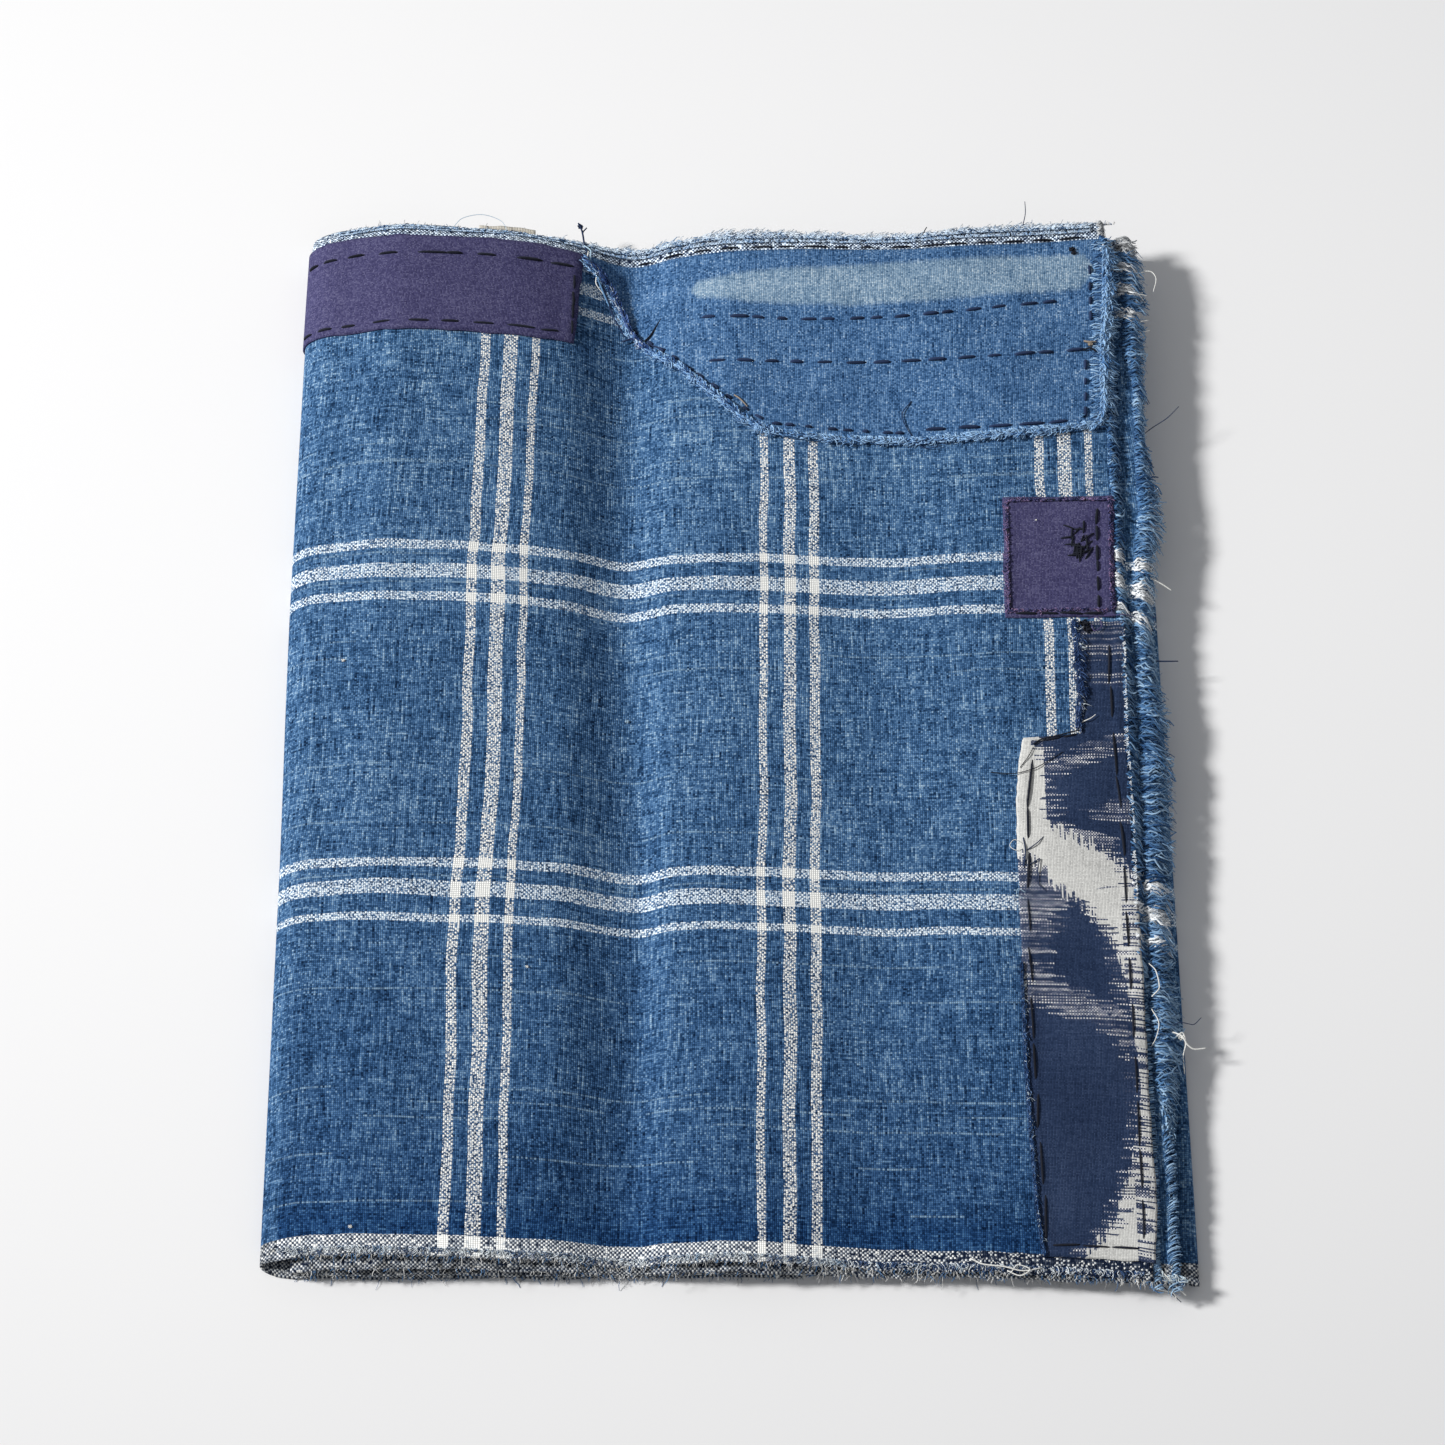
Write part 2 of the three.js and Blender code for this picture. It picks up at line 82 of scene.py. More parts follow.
# How far each layer lies out of line across the loom, at its left and its right end, and there at
# the near and the far selvedge.
SLIP = {
    "top": {"left": (0.0, 0.0), "right": (0.0, 0.0)},
    "second": {"left": (-3.5, -3.0), "right": (0.0, -4.5)},
    "third": {"left": (-4.5, -2.0), "right": (2.0, -3.0)},
    "lowest": {"left": (-4.5, -1.0), "right": (3.0, -3.0)},
}
# Each layer's share of the top layer's height, and how much of it is added at the cut ends.
SHARE = {"top": 1.0, "second": 2 / 3, "third": 1 / 3, "lowest": 0.0}
CUT_END_RISE = {"top": 0.0, "second": 0.16, "third": 0.04, "lowest": 0.0}


def curve_through(xs, ys, at):
    """A smooth curve through points that never overshoots them: cubics whose end slopes are the
    weighted harmonic means of the slopes beside them, or level where those differ in sign."""
    at = np.asarray(at, float)
    xs = np.broadcast_to(xs, at.shape + np.shape(xs)[-1:])
    ys = np.broadcast_to(ys, at.shape + np.shape(ys)[-1:])
    widths = np.diff(xs)
    slopes = np.diff(ys) / widths
    left, right = slopes[..., :-1], slopes[..., 1:]
    before = 2 * widths[..., 1:] + widths[..., :-1]
    after = widths[..., 1:] + 2 * widths[..., :-1]
    alike = left * right > 0
    mean = (before + after) / (before / np.where(alike, left, 1) + after / np.where(alike, right, 1))
    tangents = np.concatenate([slopes[..., :1], np.where(alike, mean, 0), slopes[..., -1:]], -1)
    at = np.clip(at, xs[..., 0], xs[..., -1])
    piece = np.clip((at[..., None] >= xs).sum(-1) - 1, 0, widths.shape[-1] - 1)[..., None]

    def pick(table):
        return np.take_along_axis(table, piece, -1)[..., 0]

    width = pick(widths)
    t = (at - pick(xs[..., :-1])) / width
    rising = t * t * (3 - 2 * t)
    leaving = t * (1 - t) ** 2 * width * pick(tangents[..., :-1])
    arriving = t * t * (t - 1) * width * pick(tangents[..., 1:])
    return (1 - rising) * pick(ys[..., :-1]) + rising * pick(ys[..., 1:]) + leaving + arriving


def towards_far(ends, share):
    """A value between those at the near and the far side of the cloth, in even steps."""
    return ends["near"] + (ends["far"] - ends["near"]) * share


def relief(name, across):
    """One column of the relief's table at places across the loom, as a smooth curve."""
    return curve_through(RELIEF["across"], RELIEF[name], across)


RIPPLE_COUNT = 16
ripple_dice = np.random.default_rng(11)
ripple_wave = ripple_dice.uniform(14, 60, RIPPLE_COUNT)
ripple_turn = ripple_dice.uniform(0, np.pi, RIPPLE_COUNT)
ripple_phase = ripple_dice.uniform(0, 2 * np.pi, RIPPLE_COUNT)
RIPPLE_HEIGHT = 0.0022


def ripples(x, across):
    """Soft unevenness of worn cloth: a sum of sine waves of all directions, each as high as its
    length times one small share."""
    run = x[..., None] * np.cos(ripple_turn) + across[..., None] * np.sin(ripple_turn)
    waves = np.sin(2 * np.pi * run / ripple_wave + ripple_phase) * ripple_wave
    return RIPPLE_HEIGHT * waves.sum(-1)


def nose_x(across):
    """Where the top layer meets the outer fold."""
    return relief("fold_x", across) + OUTER_NOSE_DEPTH


def top_z(x, across):
    """Height of the top layer's mid-surface: a smooth curve through the stations' heights, and
    the ripples, which fade out towards the fold."""
    x, across = np.broadcast_arrays(np.asarray(x, float), across)
    start = nose_x(across)
    level = np.full(x.shape, 1.0)
    stations = [start, *(level * STATION_X[n] for n in ("crest", "back", "brink"))]
    stations += [relief("valley_x", across)]
    stations += [*(level * STATION_X[n] for n in ("rise", "lobe", "dip", "far")), level * TOP_END_X]
    names = ("nose", "crest", "back", "brink", "valley", "rise", "lobe", "dip", "far", "end")
    heights = np.stack([relief(n, across) for n in names], -1) - FLOOR_MID
    fade = np.clip((x - start) / 12, 0, 1)
    return curve_through(np.stack(stations, -1), heights, x) + fade * ripples(x, across)


def layer_z(layer, x, across):
    """A layer's height is its share of the top layer's, and more near the cut ends."""
    rise = CUT_END_RISE[layer] * np.clip((x - 60) / (TOP_END_X - 60), 0, 1) ** 2
    return FLOOR_MID + (SHARE[layer] + rise) * (top_z(x, across) - FLOOR_MID)


def slip_of(layer, x, across):
    """How far a layer lies out of line across the loom, even steps between its four corners."""
    along = np.clip((x - relief("fold_x", across)) / FOLDED_LENGTH, 0, 1)
    far = across / LOOM_WIDTH
    (left_near, left_far), (right_near, right_far) = SLIP[layer]["left"], SLIP[layer]["right"]
    left = left_near + (left_far - left_near) * far
    right = right_near + (right_far - right_near) * far
    return left + (right - left) * along


def weave_y(x, across, slip=0.0):
    """Y of a place on the strip: rows run a little downhill, and both right corners are pulled."""
    towards = np.clip((x - CORNER_PULL["start_x"]) / CORNER_PULL["reach"], 0, None) ** 2
    far = across / LOOM_WIDTH
    pull = towards * (CORNER_PULL["far"] * far**2 - CORNER_PULL["near"] * (1 - far) ** 2)
    return NEAR_SELVEDGE_Y + across - WEAVE_SKEW * x + pull + slip


def wobble(at, wave, seed):
    """A smooth uneven line from -1 to 1: a random height every wave, with eased steps between."""
    heights = np.random.default_rng(seed).uniform(-1, 1, 4096)
    steps = np.asarray(at, float) / wave + 1024
    low = np.floor(steps).astype(int)
    share = steps - low
    share = share * share * (3 - 2 * share)
    return heights[low % 4096] * (1 - share) + heights[(low + 1) % 4096] * share


def fold_line(x, side, depth, upper_z, lower_z, slope, turns):
    """A fold's half ellipse, leaning to meet the slope above it. A turn of 1 is its upper end,
    0 its outermost edge and -1 its lower end."""
    middle, half = (upper_z + lower_z) / 2, (upper_z - lower_z) / 2
    angle = turns * np.pi / 2
    out = depth * np.cos(angle)
    lean = slope * out * (1 + np.sin(angle)) / 2
    return x + side * out, middle + half * np.sin(angle) + side * lean


def outer_fold(across, turns):
    """X and Z on the fold that takes the top layer down to the lowest one, for turns as above."""
    x = nose_x(across)
    upper = top_z(x, across)
    slope = top_z(x + 1, across) - upper
    return fold_line(x, -1, OUTER_NOSE_DEPTH, upper, FLOOR_MID, slope, turns)


# Where the three columns of stripes cross the top layer, for places across the loom, and the
# even spacing at which they were woven.
COLUMN_STEP = 86.0
COLUMN_ACROSS = np.array([8.0, 76.0, 111.0, 139.0, 171.0, 214.0, 253.0, 289.0])
LEFT_COLUMN_X = np.array([-68.3, -68.3, -68.4, -67.1, -66.7, -66.6, -65.8, -64.5])
MIDDLE_COLUMN_X = np.array([18.5, 19.0, 19.3, 19.6, 19.9, 20.2, 20.2, 20.2])
RIGHT_COLUMN_X = np.array([104.4, 104.4, 104.3, 104.2, 104.0, 103.6, 103.2, 102.9])


def woven_place(x, across):
    """Place along the woven strip of a point on the top layer: straight lines between the
    columns of stripes, which were woven at an even spacing."""
    columns = [
        np.interp(across, COLUMN_ACROSS, xs)
        for xs in (LEFT_COLUMN_X, MIDDLE_COLUMN_X, RIGHT_COLUMN_X)
    ]
    left, middle, right = columns
    on_left = (x - middle) / (middle - left)
    on_right = (x - middle) / (right - middle)
    return COLUMN_STEP * np.where(x < middle, on_left, on_right)


def eased(start, end, count, towards_end=1.0):
    """Steps from start to end, closer together near the end where towards_end is over 1."""
    share = 1 - (1 - np.linspace(0, 1, count)) ** towards_end
    return start + (end - start) * share


EDGE_WANDER = 0.55
EDGE_WANDER_REACH = 5.0


def strip_points(across):
    """The folded strip's mid-surface: one line along X and Z for each place across the loom,
    from the top layer's cut end to the second layer's. Returns the points, and the woven place
    of each along and across the strip."""
    rows = across[:, None]
    start, far = nose_x(rows), rows / LOOM_WIDTH
    right_x = towards_far(RIGHT_FOLD_X, far) - RIGHT_FOLD_DEPTH
    inner_x = start - OUTER_NOSE_DEPTH + INNER_NOSE_INSET + INNER_NOSE_DEPTH
    second_end = towards_far(SECOND_END_X, far)

    def lay(layer, xs):
        return xs, layer_z(layer, xs, rows), slip_of(layer, xs, rows)

    def fold(x, line, before, after, count):
        share = np.linspace(0, 1, count + 2)[1:-1]
        slip = slip_of(before, x, rows) * (1 - share) + slip_of(after, x, rows) * share
        return (*line(share), slip)

    def right_line(share):
        upper = layer_z("third", right_x, rows)
        return fold_line(right_x, 1, RIGHT_FOLD_DEPTH, upper, FLOOR_MID, 0, 2 * share - 1)

    def inner_line(share):
        upper, lower = layer_z("second", inner_x, rows), layer_z("third", inner_x, rows)
        return fold_line(inner_x, -1, INNER_NOSE_DEPTH, upper, lower, 0, 2 * share - 1)

    spans = [
        lay("top", eased(TOP_END_X, start, 156)),
        fold(start, lambda share: outer_fold(rows, 1 - 2 * share), "top", "lowest", 14),
        lay("lowest", eased(start, right_x, 44)),
        fold(right_x, right_line, "lowest", "third", 8),
        lay("third", eased(right_x, inner_x, 44)),
        fold(inner_x, inner_line, "third", "second", 8),
        lay("second", eased(inner_x, second_end, 62, 1.7)),
    ]
    x, z, slip = (np.hstack([span[i] for span in spans]) for i in range(3))
    length = np.cumsum(np.hypot(np.diff(x, axis=1), np.diff(z, axis=1)), axis=1)
    on_top = spans[0][0].shape[1]
    place = woven_place(spans[0][0], rows)
    below = place[:, -1:] - (length[:, on_top - 1:] - length[:, on_top - 2:on_top - 1])
    along = np.hstack([place, below])
    edge = np.exp(-rows / EDGE_WANDER_REACH) * wobble(along, 5, 21)
    edge = edge + np.exp(-(LOOM_WIDTH - rows) / EDGE_WANDER_REACH) * wobble(along, 5, 22)
    y = weave_y(x, rows, slip) + EDGE_WANDER * edge
    return np.stack([x, y, z], -1), np.stack([along, np.broadcast_to(rows, x.shape)], -1)


cloth_low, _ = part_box("cloth")
ROWS_ACROSS = np.concatenate([
    np.linspace(0, 8, 7), np.linspace(8, 329, 116)[1:-1], np.linspace(329, LOOM_WIDTH, 7),
])
strip_mid, strip_flat = strip_points(ROWS_ACROSS)
lowest_y = weave_y(RIGHT_FOLD_X["near"], 0.0, SLIP["lowest"]["right"][0])
lowest_y = min(lowest_y, weave_y(LEFT_EDGE_X, 0.0, SLIP["lowest"]["left"][0]))
second_y = weave_y(strip_mid[0, :, 0], 0.0, slip_of("second", strip_mid[0, :, 0], np.array(0.0)))
lowest_y = min(lowest_y, second_y.min())
SHIFT = np.array([cloth_low.x / MM - LEFT_EDGE_X, cloth_low.y / MM - lowest_y, 0.0])


def grid_faces(rows, columns):
    """Quads between the points of a grid whose points run along its rows."""
    first = np.arange(rows - 1)[:, None] * columns + np.arange(columns - 1)
    return np.stack([first, first + columns, first + columns + 1, first + 1], -1).reshape(-1, 4)


def add_piece(name, points, faces, finish, flat=None, dye=None, nodes=()):
    """A smooth mesh from points in the cloth's own millimetres, with its object at the origin.
    flat gives each point's place on the flat cloth, and dye its colour."""
    mesh = bpy.data.meshes.new(name)
    mesh.from_pydata(((points.reshape(-1, 3) + SHIFT) * MM).tolist(), [], faces)
    mesh.polygons.foreach_set("use_smooth", [True] * len(mesh.polygons))
    if flat is not None:
        corners = np.empty(len(mesh.loops), int)
        mesh.loops.foreach_get("vertex_index", corners)
        layer = mesh.uv_layers.new(name="flat")
        layer.data.foreach_set("uv", flat.reshape(-1, 2)[corners].ravel())
    if dye is not None:
        colours = np.concatenate([dye.reshape(-1, 3), np.ones((dye.size // 3, 1))], 1)
        attribute = mesh.attributes.new("dye", "FLOAT_COLOR", "POINT")
        attribute.data.foreach_set("color", colours.ravel())
    mesh.materials.append(finish.material)
    mesh.validate()
    piece = bpy.data.objects.new(name, mesh)
    bpy.context.scene.collection.objects.link(piece)
    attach(piece, "root")
    if nodes:
        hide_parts(*nodes)
    return piece


def thicken(piece, thickness):
    """Gives a sheet its thickness, half to each side, with a closed edge."""
    shell = piece.modifiers.new("thickness", "SOLIDIFY")
    shell.thickness = thickness * MM
    shell.offset = 0.0
    return piece


class Term:
    """A number worked out at every point of a surface. Sums of terms become Math nodes."""

    def __init__(self, tree, socket):
        self.tree, self.socket = tree, socket

    def sum(self, operation, *others):
        node = self.tree.nodes.new("ShaderNodeMath")
        node.operation = operation
        for slot, value in zip(node.inputs, (self, *others)):
            if isinstance(value, Term):
                self.tree.links.new(value.socket, slot)
            else:
                slot.default_value = value
        return Term(self.tree, node.outputs[0])

    def __add__(self, other):
        return self.sum("ADD", other)

    def __sub__(self, other):
        return self.sum("SUBTRACT", other)

    def __mul__(self, other):
        return self.sum("MULTIPLY", other)

    def __truediv__(self, other):
        return self.sum("DIVIDE", other)

    def __mod__(self, other):
        return self.sum("FLOORED_MODULO", other)

    def floor(self):
        return self.sum("FLOOR")

    def wrap(self, low, high):
        """The number, moved by whole spans until it lies between low and high."""
        return self.sum("WRAP", high, low)

    def near(self, centre, half):
        """1 where the number is within half of centre, and 0 elsewhere."""
        return self.sum("COMPARE", centre, half)

    def over(self, limit):
        """1 where the number is over the limit, and 0 elsewhere."""
        return self.sum("GREATER_THAN", limit)

    def under(self, limit):
        """1 where the number is under the limit, and 0 elsewhere."""
        return self.sum("LESS_THAN", limit)

    def most(self, other):
        return self.sum("MAXIMUM", other)

    def limited(self):
        """The number, held between 0 and 1."""
        return self.sum("MAXIMUM", 0.0).sum("MINIMUM", 1.0)

    def between(self, other, share):
        """This number where share is 0, the other where it is 1."""
        return self + (other - self) * share


class Finish:
    """The finish of a cloth or yarn: a Principled shader and short calls for what feeds it."""

    def __init__(self, name, roughness, sheen, gloss=0.25):
        self.material = bpy.data.materials.new(name)
        self.material.use_nodes = True
        self.tree = self.material.node_tree
        self.shader = self.tree.nodes["Principled BSDF"]
        self.shader.inputs["Roughness"].default_value = roughness
        self.shader.inputs["Sheen Weight"].default_value = sheen
        self.shader.inputs["Sheen Roughness"].default_value = 0.5
        self.shader.inputs["Specular IOR Level"].default_value = gloss

    def flat_place(self):
        """Millimetres along the strip and across the loom, from the piece's flat map."""
        uv = self.tree.nodes.new("ShaderNodeUVMap")
        uv.uv_map = "flat"
        parts = self.tree.nodes.new("ShaderNodeSeparateXYZ")
        self.tree.links.new(uv.outputs[0], parts.inputs[0])
        return Term(self.tree, parts.outputs[0]), Term(self.tree, parts.outputs[1])

    def vector(self, *terms):
        """Up to three terms or plain numbers as one vector."""
        node = self.tree.nodes.new("ShaderNodeCombineXYZ")
        for slot, value in zip(node.inputs, terms):
            if isinstance(value, Term):
                self.tree.links.new(value.socket, slot)
            else:
                slot.default_value = value
        return node.outputs[0]

    def mottle(self, x, y, seed, detail=1.0):
        """Smooth noise about 0, mostly from -0.5 to 0.5, one patch for each unit of x and y."""
        node = self.tree.nodes.new("ShaderNodeTexNoise")
        node.inputs["Scale"].default_value = 1.0
        node.inputs["Detail"].default_value = detail
        self.tree.links.new(self.vector(x, y, seed), node.inputs["Vector"])
        return (Term(self.tree, node.outputs[0]) - 0.5) * 1.8

    def chance(self, x, y):
        """A random number from 0 to 1 for each pair of whole numbers."""
        node = self.tree.nodes.new("ShaderNodeTexWhiteNoise")
        node.noise_dimensions = "2D"
        self.tree.links.new(self.vector(x, y), node.inputs["Vector"])
        return Term(self.tree, node.outputs[0])

    def curve(self, term, low, high, bottom, top, points):
        """A drawn curve: a term from low to high gives a number from bottom to top."""
        node = self.tree.nodes.new("ShaderNodeFloatCurve")
        line = node.mapping.curves[0]
        for _ in points[2:]:
            line.points.new(0.5, 0.5)
        for point, (x, y) in zip(line.points, sorted(points)):
            point.location = ((x - low) / (high - low), (y - bottom) / (top - bottom))
            point.handle_type = "VECTOR"
        node.mapping.update()
        self.tree.links.new(((term - low) / (high - low)).socket, node.inputs["Value"])
        return Term(self.tree, node.outputs[0]) * (top - bottom) + bottom

    def shades(self, term, stops):
        """The colour at a term from 0 to 1, between stops of place and colour."""
        node = self.tree.nodes.new("ShaderNodeValToRGB")
        for _ in stops[2:]:
            node.color_ramp.elements.new(0.5)
        for element, (place, colour) in zip(node.color_ramp.elements, stops):
            element.position = place
            element.color = (*colour, 1.0)
        self.tree.links.new(term.socket, node.inputs[0])
        return node.outputs[0]

    def blend(self, share, one, other, how="MIX"):
        """One colour where share is 0, the other, or their product, where it is 1."""
        node = self.tree.nodes.new("ShaderNodeMix")
        node.data_type = "RGBA"
        node.blend_type = how
        self.tree.links.new(share.socket, node.inputs["Factor"])
        for slot, value in zip((node.inputs[6], node.inputs[7]), (one, other)):
            if isinstance(value, tuple):
                slot.default_value = (*value, 1.0)
            else:
                self.tree.links.new(value, slot)
        return node.outputs[2]

    def shaded(self, colour, strength):
        """The colour times the strength."""
        node = self.tree.nodes.new("ShaderNodeVectorMath")
        node.operation = "SCALE"
        self.tree.links.new(colour, node.inputs[0])
        self.tree.links.new(strength.socket, node.inputs["Scale"])
        return node.outputs[0]

    def paint(self, colour, height=None, depth=0.12):
        """Sends the colour to the shader, and a height of 0 to 1 as relief of that many mm."""
        self.tree.links.new(colour, self.shader.inputs["Base Color"])
        if height is not None:
            bump = self.tree.nodes.new("ShaderNodeBump")
            bump.inputs["Distance"].default_value = depth * MM
            self.tree.links.new(height.socket, bump.inputs["Height"])
            self.tree.links.new(bump.outputs[0], self.shader.inputs["Normal"])


def crossing(finish, along, across, pitch, wander, seed):
    """Plain weave: whole-number places of the weft and the warp, 1 where the warp lies on top,
    and the crown of the thread there, a half sine each way. The threads wander a little, and
    handspun ones are thick and thin."""
    drift, swell = 26.0, 2.6 * pitch
    weft_swell = finish.mottle(along / swell, across / drift, seed + 9)
    warp_swell = finish.mottle(along / drift, across / swell, seed + 14)
    along = along + finish.mottle(along / drift, across / drift, seed) * wander
    along = along + weft_swell * pitch * 0.3
    across = across + finish.mottle(along / drift, across / drift, seed + 5) * wander
    across = across + warp_swell * pitch * 0.3
    weft, warp = (along / pitch).floor(), (across / pitch).floor()
    warp_over = (weft + warp) % 2.0
    weft_arc = ((along / pitch - weft) * np.pi).sum("SINE")
    crown = weft_arc * ((across / pitch - warp) * np.pi).sum("SINE")
    return weft, warp, warp_over, crown.most(0.0).sum("POWER", 0.6)


# Two threads beside each other are this far apart in the noise, so that they come out unlike.
THREADS_APART = 3.7
THREAD_PITCH = 0.6
COLUMN_STRIPES = ((-7.8, 1.35), (0.0, 1.95), (7.5, 1.3))
ROW_STEP = 104.25
ROW_STRIPES = ((-8.8, 1.4), (0.0, 2.4), (8.3, 1.5))
FIRST_ROW_ACROSS = 109.6
SELVEDGE = {"near": 5.7, "far": 330.6}
STRIPED_WARPS_START = 20.0
# Woven place of the outer fold: the top layer's is greater, that of the others less.
LEFT_FOLD_PLACE = -140.0
INDIGO_SHADES = (
    (0.0, (0.004, 0.016, 0.05)),
    (0.3, (0.026, 0.078, 0.18)),
    (0.5, (0.060, 0.146, 0.305)),
    (0.7, (0.125, 0.25, 0.44)),
    (1.0, (0.36, 0.52, 0.68)),
)
WHITE_SHADES = (
    (0.0, (0.10, 0.13, 0.18)),
    (0.35, (0.60, 0.64, 0.68)),
    (0.65, (0.95, 0.96, 0.94)),
    (1.0, (1.0, 0.99, 0.95)),
)
DEEP_DYE = (0.27, 0.42, 0.58)
PALE_SLUB = (0.22, 0.35, 0.50)
BLUISH = (0.84, 0.94, 1.06)
EDGE_DARK = ((0.0, (0.010, 0.018, 0.045)), (1.0, (0.13, 0.16, 0.22)))

indigo_cotton = Finish("indigo_cotton", roughness=0.95, sheen=0.0, gloss=0.05)
f = indigo_cotton
along, across = f.flat_place()
weft, warp, warp_over, crown = crossing(f, along, across, THREAD_PITCH, 1.1, 3.0)
# Every thread has its own depth of blue, and every crossing and fibre a little of its own.
warp_tone = f.mottle(along / 12, warp * THREADS_APART, 1.0)
weft_tone = f.mottle(weft * THREADS_APART, across / 10, 9.0)
speckle = f.chance(weft, warp) - 0.5
grit = f.mottle(along / 0.62, across / 0.62, 33.0, detail=0.0)
tone = weft_tone.between(warp_tone, warp_over) * 0.3 + weft_tone * 0.38 + warp_tone * 0.22
tone = tone + speckle * 0.44 + grit * 0.28 + 0.5
tone = tone + f.mottle(along / 40, across / 40, 4.0) * 0.12
blue = f.shades(tone.limited(), INDIGO_SHADES)
# The dye is deepest at the near selvedge, and some warps carry pale slubs.
deep_dye_and_painted_light = f.curve(
    across, 0, LOOM_WIDTH, 0, 1.2,
    ((0, 1.0), (10, 1.0), (20, 0.68), (48, 0.42), (90, 0.27), (130, 0.09), (200, 0.04), (337, 0.0)),
)
# Painted light: the lower layers, which lie in shade, get only three tenths of the deep dye, so they
# read lighter.
deep_dye_and_painted_light = deep_dye_and_painted_light * (along.over(LEFT_FOLD_PLACE) * 0.7 + 0.3)
blue = f.blend(deep_dye_and_painted_light, blue, DEEP_DYE, "MULTIPLY")
slub = f.chance(warp, 2.0).over(0.962) * f.mottle(along / 50, warp * 5.3, 6.0).over(0.02)
blue = f.blend((slub * (speckle + warp_over * 0.5 + 0.25)).limited(), blue, PALE_SLUB)
# The check: threads within a stripe are white, and where only one of the two is, both show.
column_place = ((weft + 0.5) * THREAD_PITCH).wrap(-COLUMN_STEP / 2, COLUMN_STEP / 2)
row_place = ((warp + 0.5) * THREAD_PITCH - FIRST_ROW_ACROSS).wrap(-ROW_STEP / 2, ROW_STEP / 2)
white_weft = column_place.near(*COLUMN_STRIPES[0]) + column_place.near(*COLUMN_STRIPES[1])
white_weft = (white_weft + column_place.near(*COLUMN_STRIPES[2])).limited()
white_warp = row_place.near(*ROW_STRIPES[0]) + row_place.near(*ROW_STRIPES[1])
white_warp = (white_warp + row_place.near(*ROW_STRIPES[2])).limited() * across.over(STRIPED_WARPS_START)
both_white = white_weft * white_warp
one_white = white_weft.most(white_warp) - both_white
salt = f.mottle(along / 0.6, across / 0.6, 37.0, detail=0.0)
cover = white_weft.between(white_warp, warp_over) * 0.5 + salt * 1.1 + speckle * 0.6
white_here = (((cover - 0.25) * 1.9 + 0.5).limited() * one_white + both_white).limited()
white_tone = (speckle * 0.5 + salt * 0.9) * (both_white * -0.7 + 1.0) + both_white * 0.16 + 0.54
white = f.shades(white_tone.limited(), WHITE_SHADES)
white = f.blend(white_warp - both_white, white, BLUISH, "MULTIPLY")
blue = f.blend((one_white * (salt * 0.9 + 0.16)).limited(), blue, (0.42, 0.52, 0.64))
colour = f.blend(white_here, blue, white)
# The selvedges: grey and white warps, with navy ones towards the cut end, shaded in tufts.
near_edge, far_edge = across.under(SELVEDGE["near"]), across.over(SELVEDGE["far"])
plain_right = ((along + 5.0) / 70.0).limited()
clumps = f.mottle(along / 1.1, across / 1.1, 27.0, detail=0.0)
edge_here = near_edge.most(far_edge)
navy_share = plain_right * 0.62 * near_edge
lower_layers = along.under(LEFT_FOLD_PLACE)
dashes = f.mottle(along / 2.2, warp * 2.3, 53.0, detail=0.0) * near_edge * plain_right
edge_white = f.chance(warp, 8.0) * (far_edge * -0.45 + 0.6) + clumps * (far_edge * 0.5 + 0.9)
edge_white = edge_white + dashes * 1.4 + far_edge * 0.16 + 0.35
edge_white = edge_white.over(navy_share + lower_layers * 0.15 + 0.12) * warp_over
top_weft = white_weft * along.over(LEFT_FOLD_PLACE) * along.under(60.0) * (far_edge * -0.75 + 1.0)
edge_white = (edge_white + (speckle + clumps + dashes).over(navy_share + 0.62) + top_weft).limited()
edge_white = edge_white * edge_here
edge_dark = f.shades((clumps * 0.9 + speckle * 0.4 + 0.42 - navy_share * 0.5).limited(), EDGE_DARK)
colour = f.blend(edge_here, colour, edge_dark)
edge_tone = f.shades((speckle * 0.35 + clumps * 0.5 + top_weft * 0.3 + 0.42).limited(), WHITE_SHADES)
colour = f.blend(edge_white, colour, edge_tone)
colour = f.blend(far_edge, colour, BLUISH, "MULTIPLY")
# Painted shade: the lower layers' near selvedge, under the top layer's edge, is darker on average, in
# mottled patches.
layer_shade = f.mottle(along / 3.2, across / 2.0, 47.0) * 1.3 - 0.2
tufted = (f.mottle(along / 1.9, across / 1.4, 51.0, detail=1.0) * 1.9 + 0.25) * far_edge
top_near = near_edge * (lower_layers * -1.0 + 1.0) * (plain_right * -1.0 + 1.0) * 0.22
edge_shade = lower_layers * near_edge * layer_shade + tufted + top_near
colour = f.shaded(colour, (edge_shade + 1.0).most(0.15))
# Fibres, and the shadows between the threads.
fibre = f.mottle(along / 0.22, across / 0.22, 2.0, detail=1.0) * 0.3 + 1.0
colour = f.shaded(colour, (crown * 0.62 + 0.55) * fibre)
f.paint(colour, crown * 0.8 + tone * 0.3, depth=0.16)

cloth = add_piece(
    "cloth_strip", strip_mid, grid_faces(*strip_mid.shape[:2]).tolist(), indigo_cotton,
    flat=strip_flat, nodes=["cloth"],
)
thicken(cloth, CLOTH_THICKNESS)
strip_length = np.hypot(*np.diff(strip_mid[60][:, [0, 2]], axis=0).T).sum()
strip_length * MM


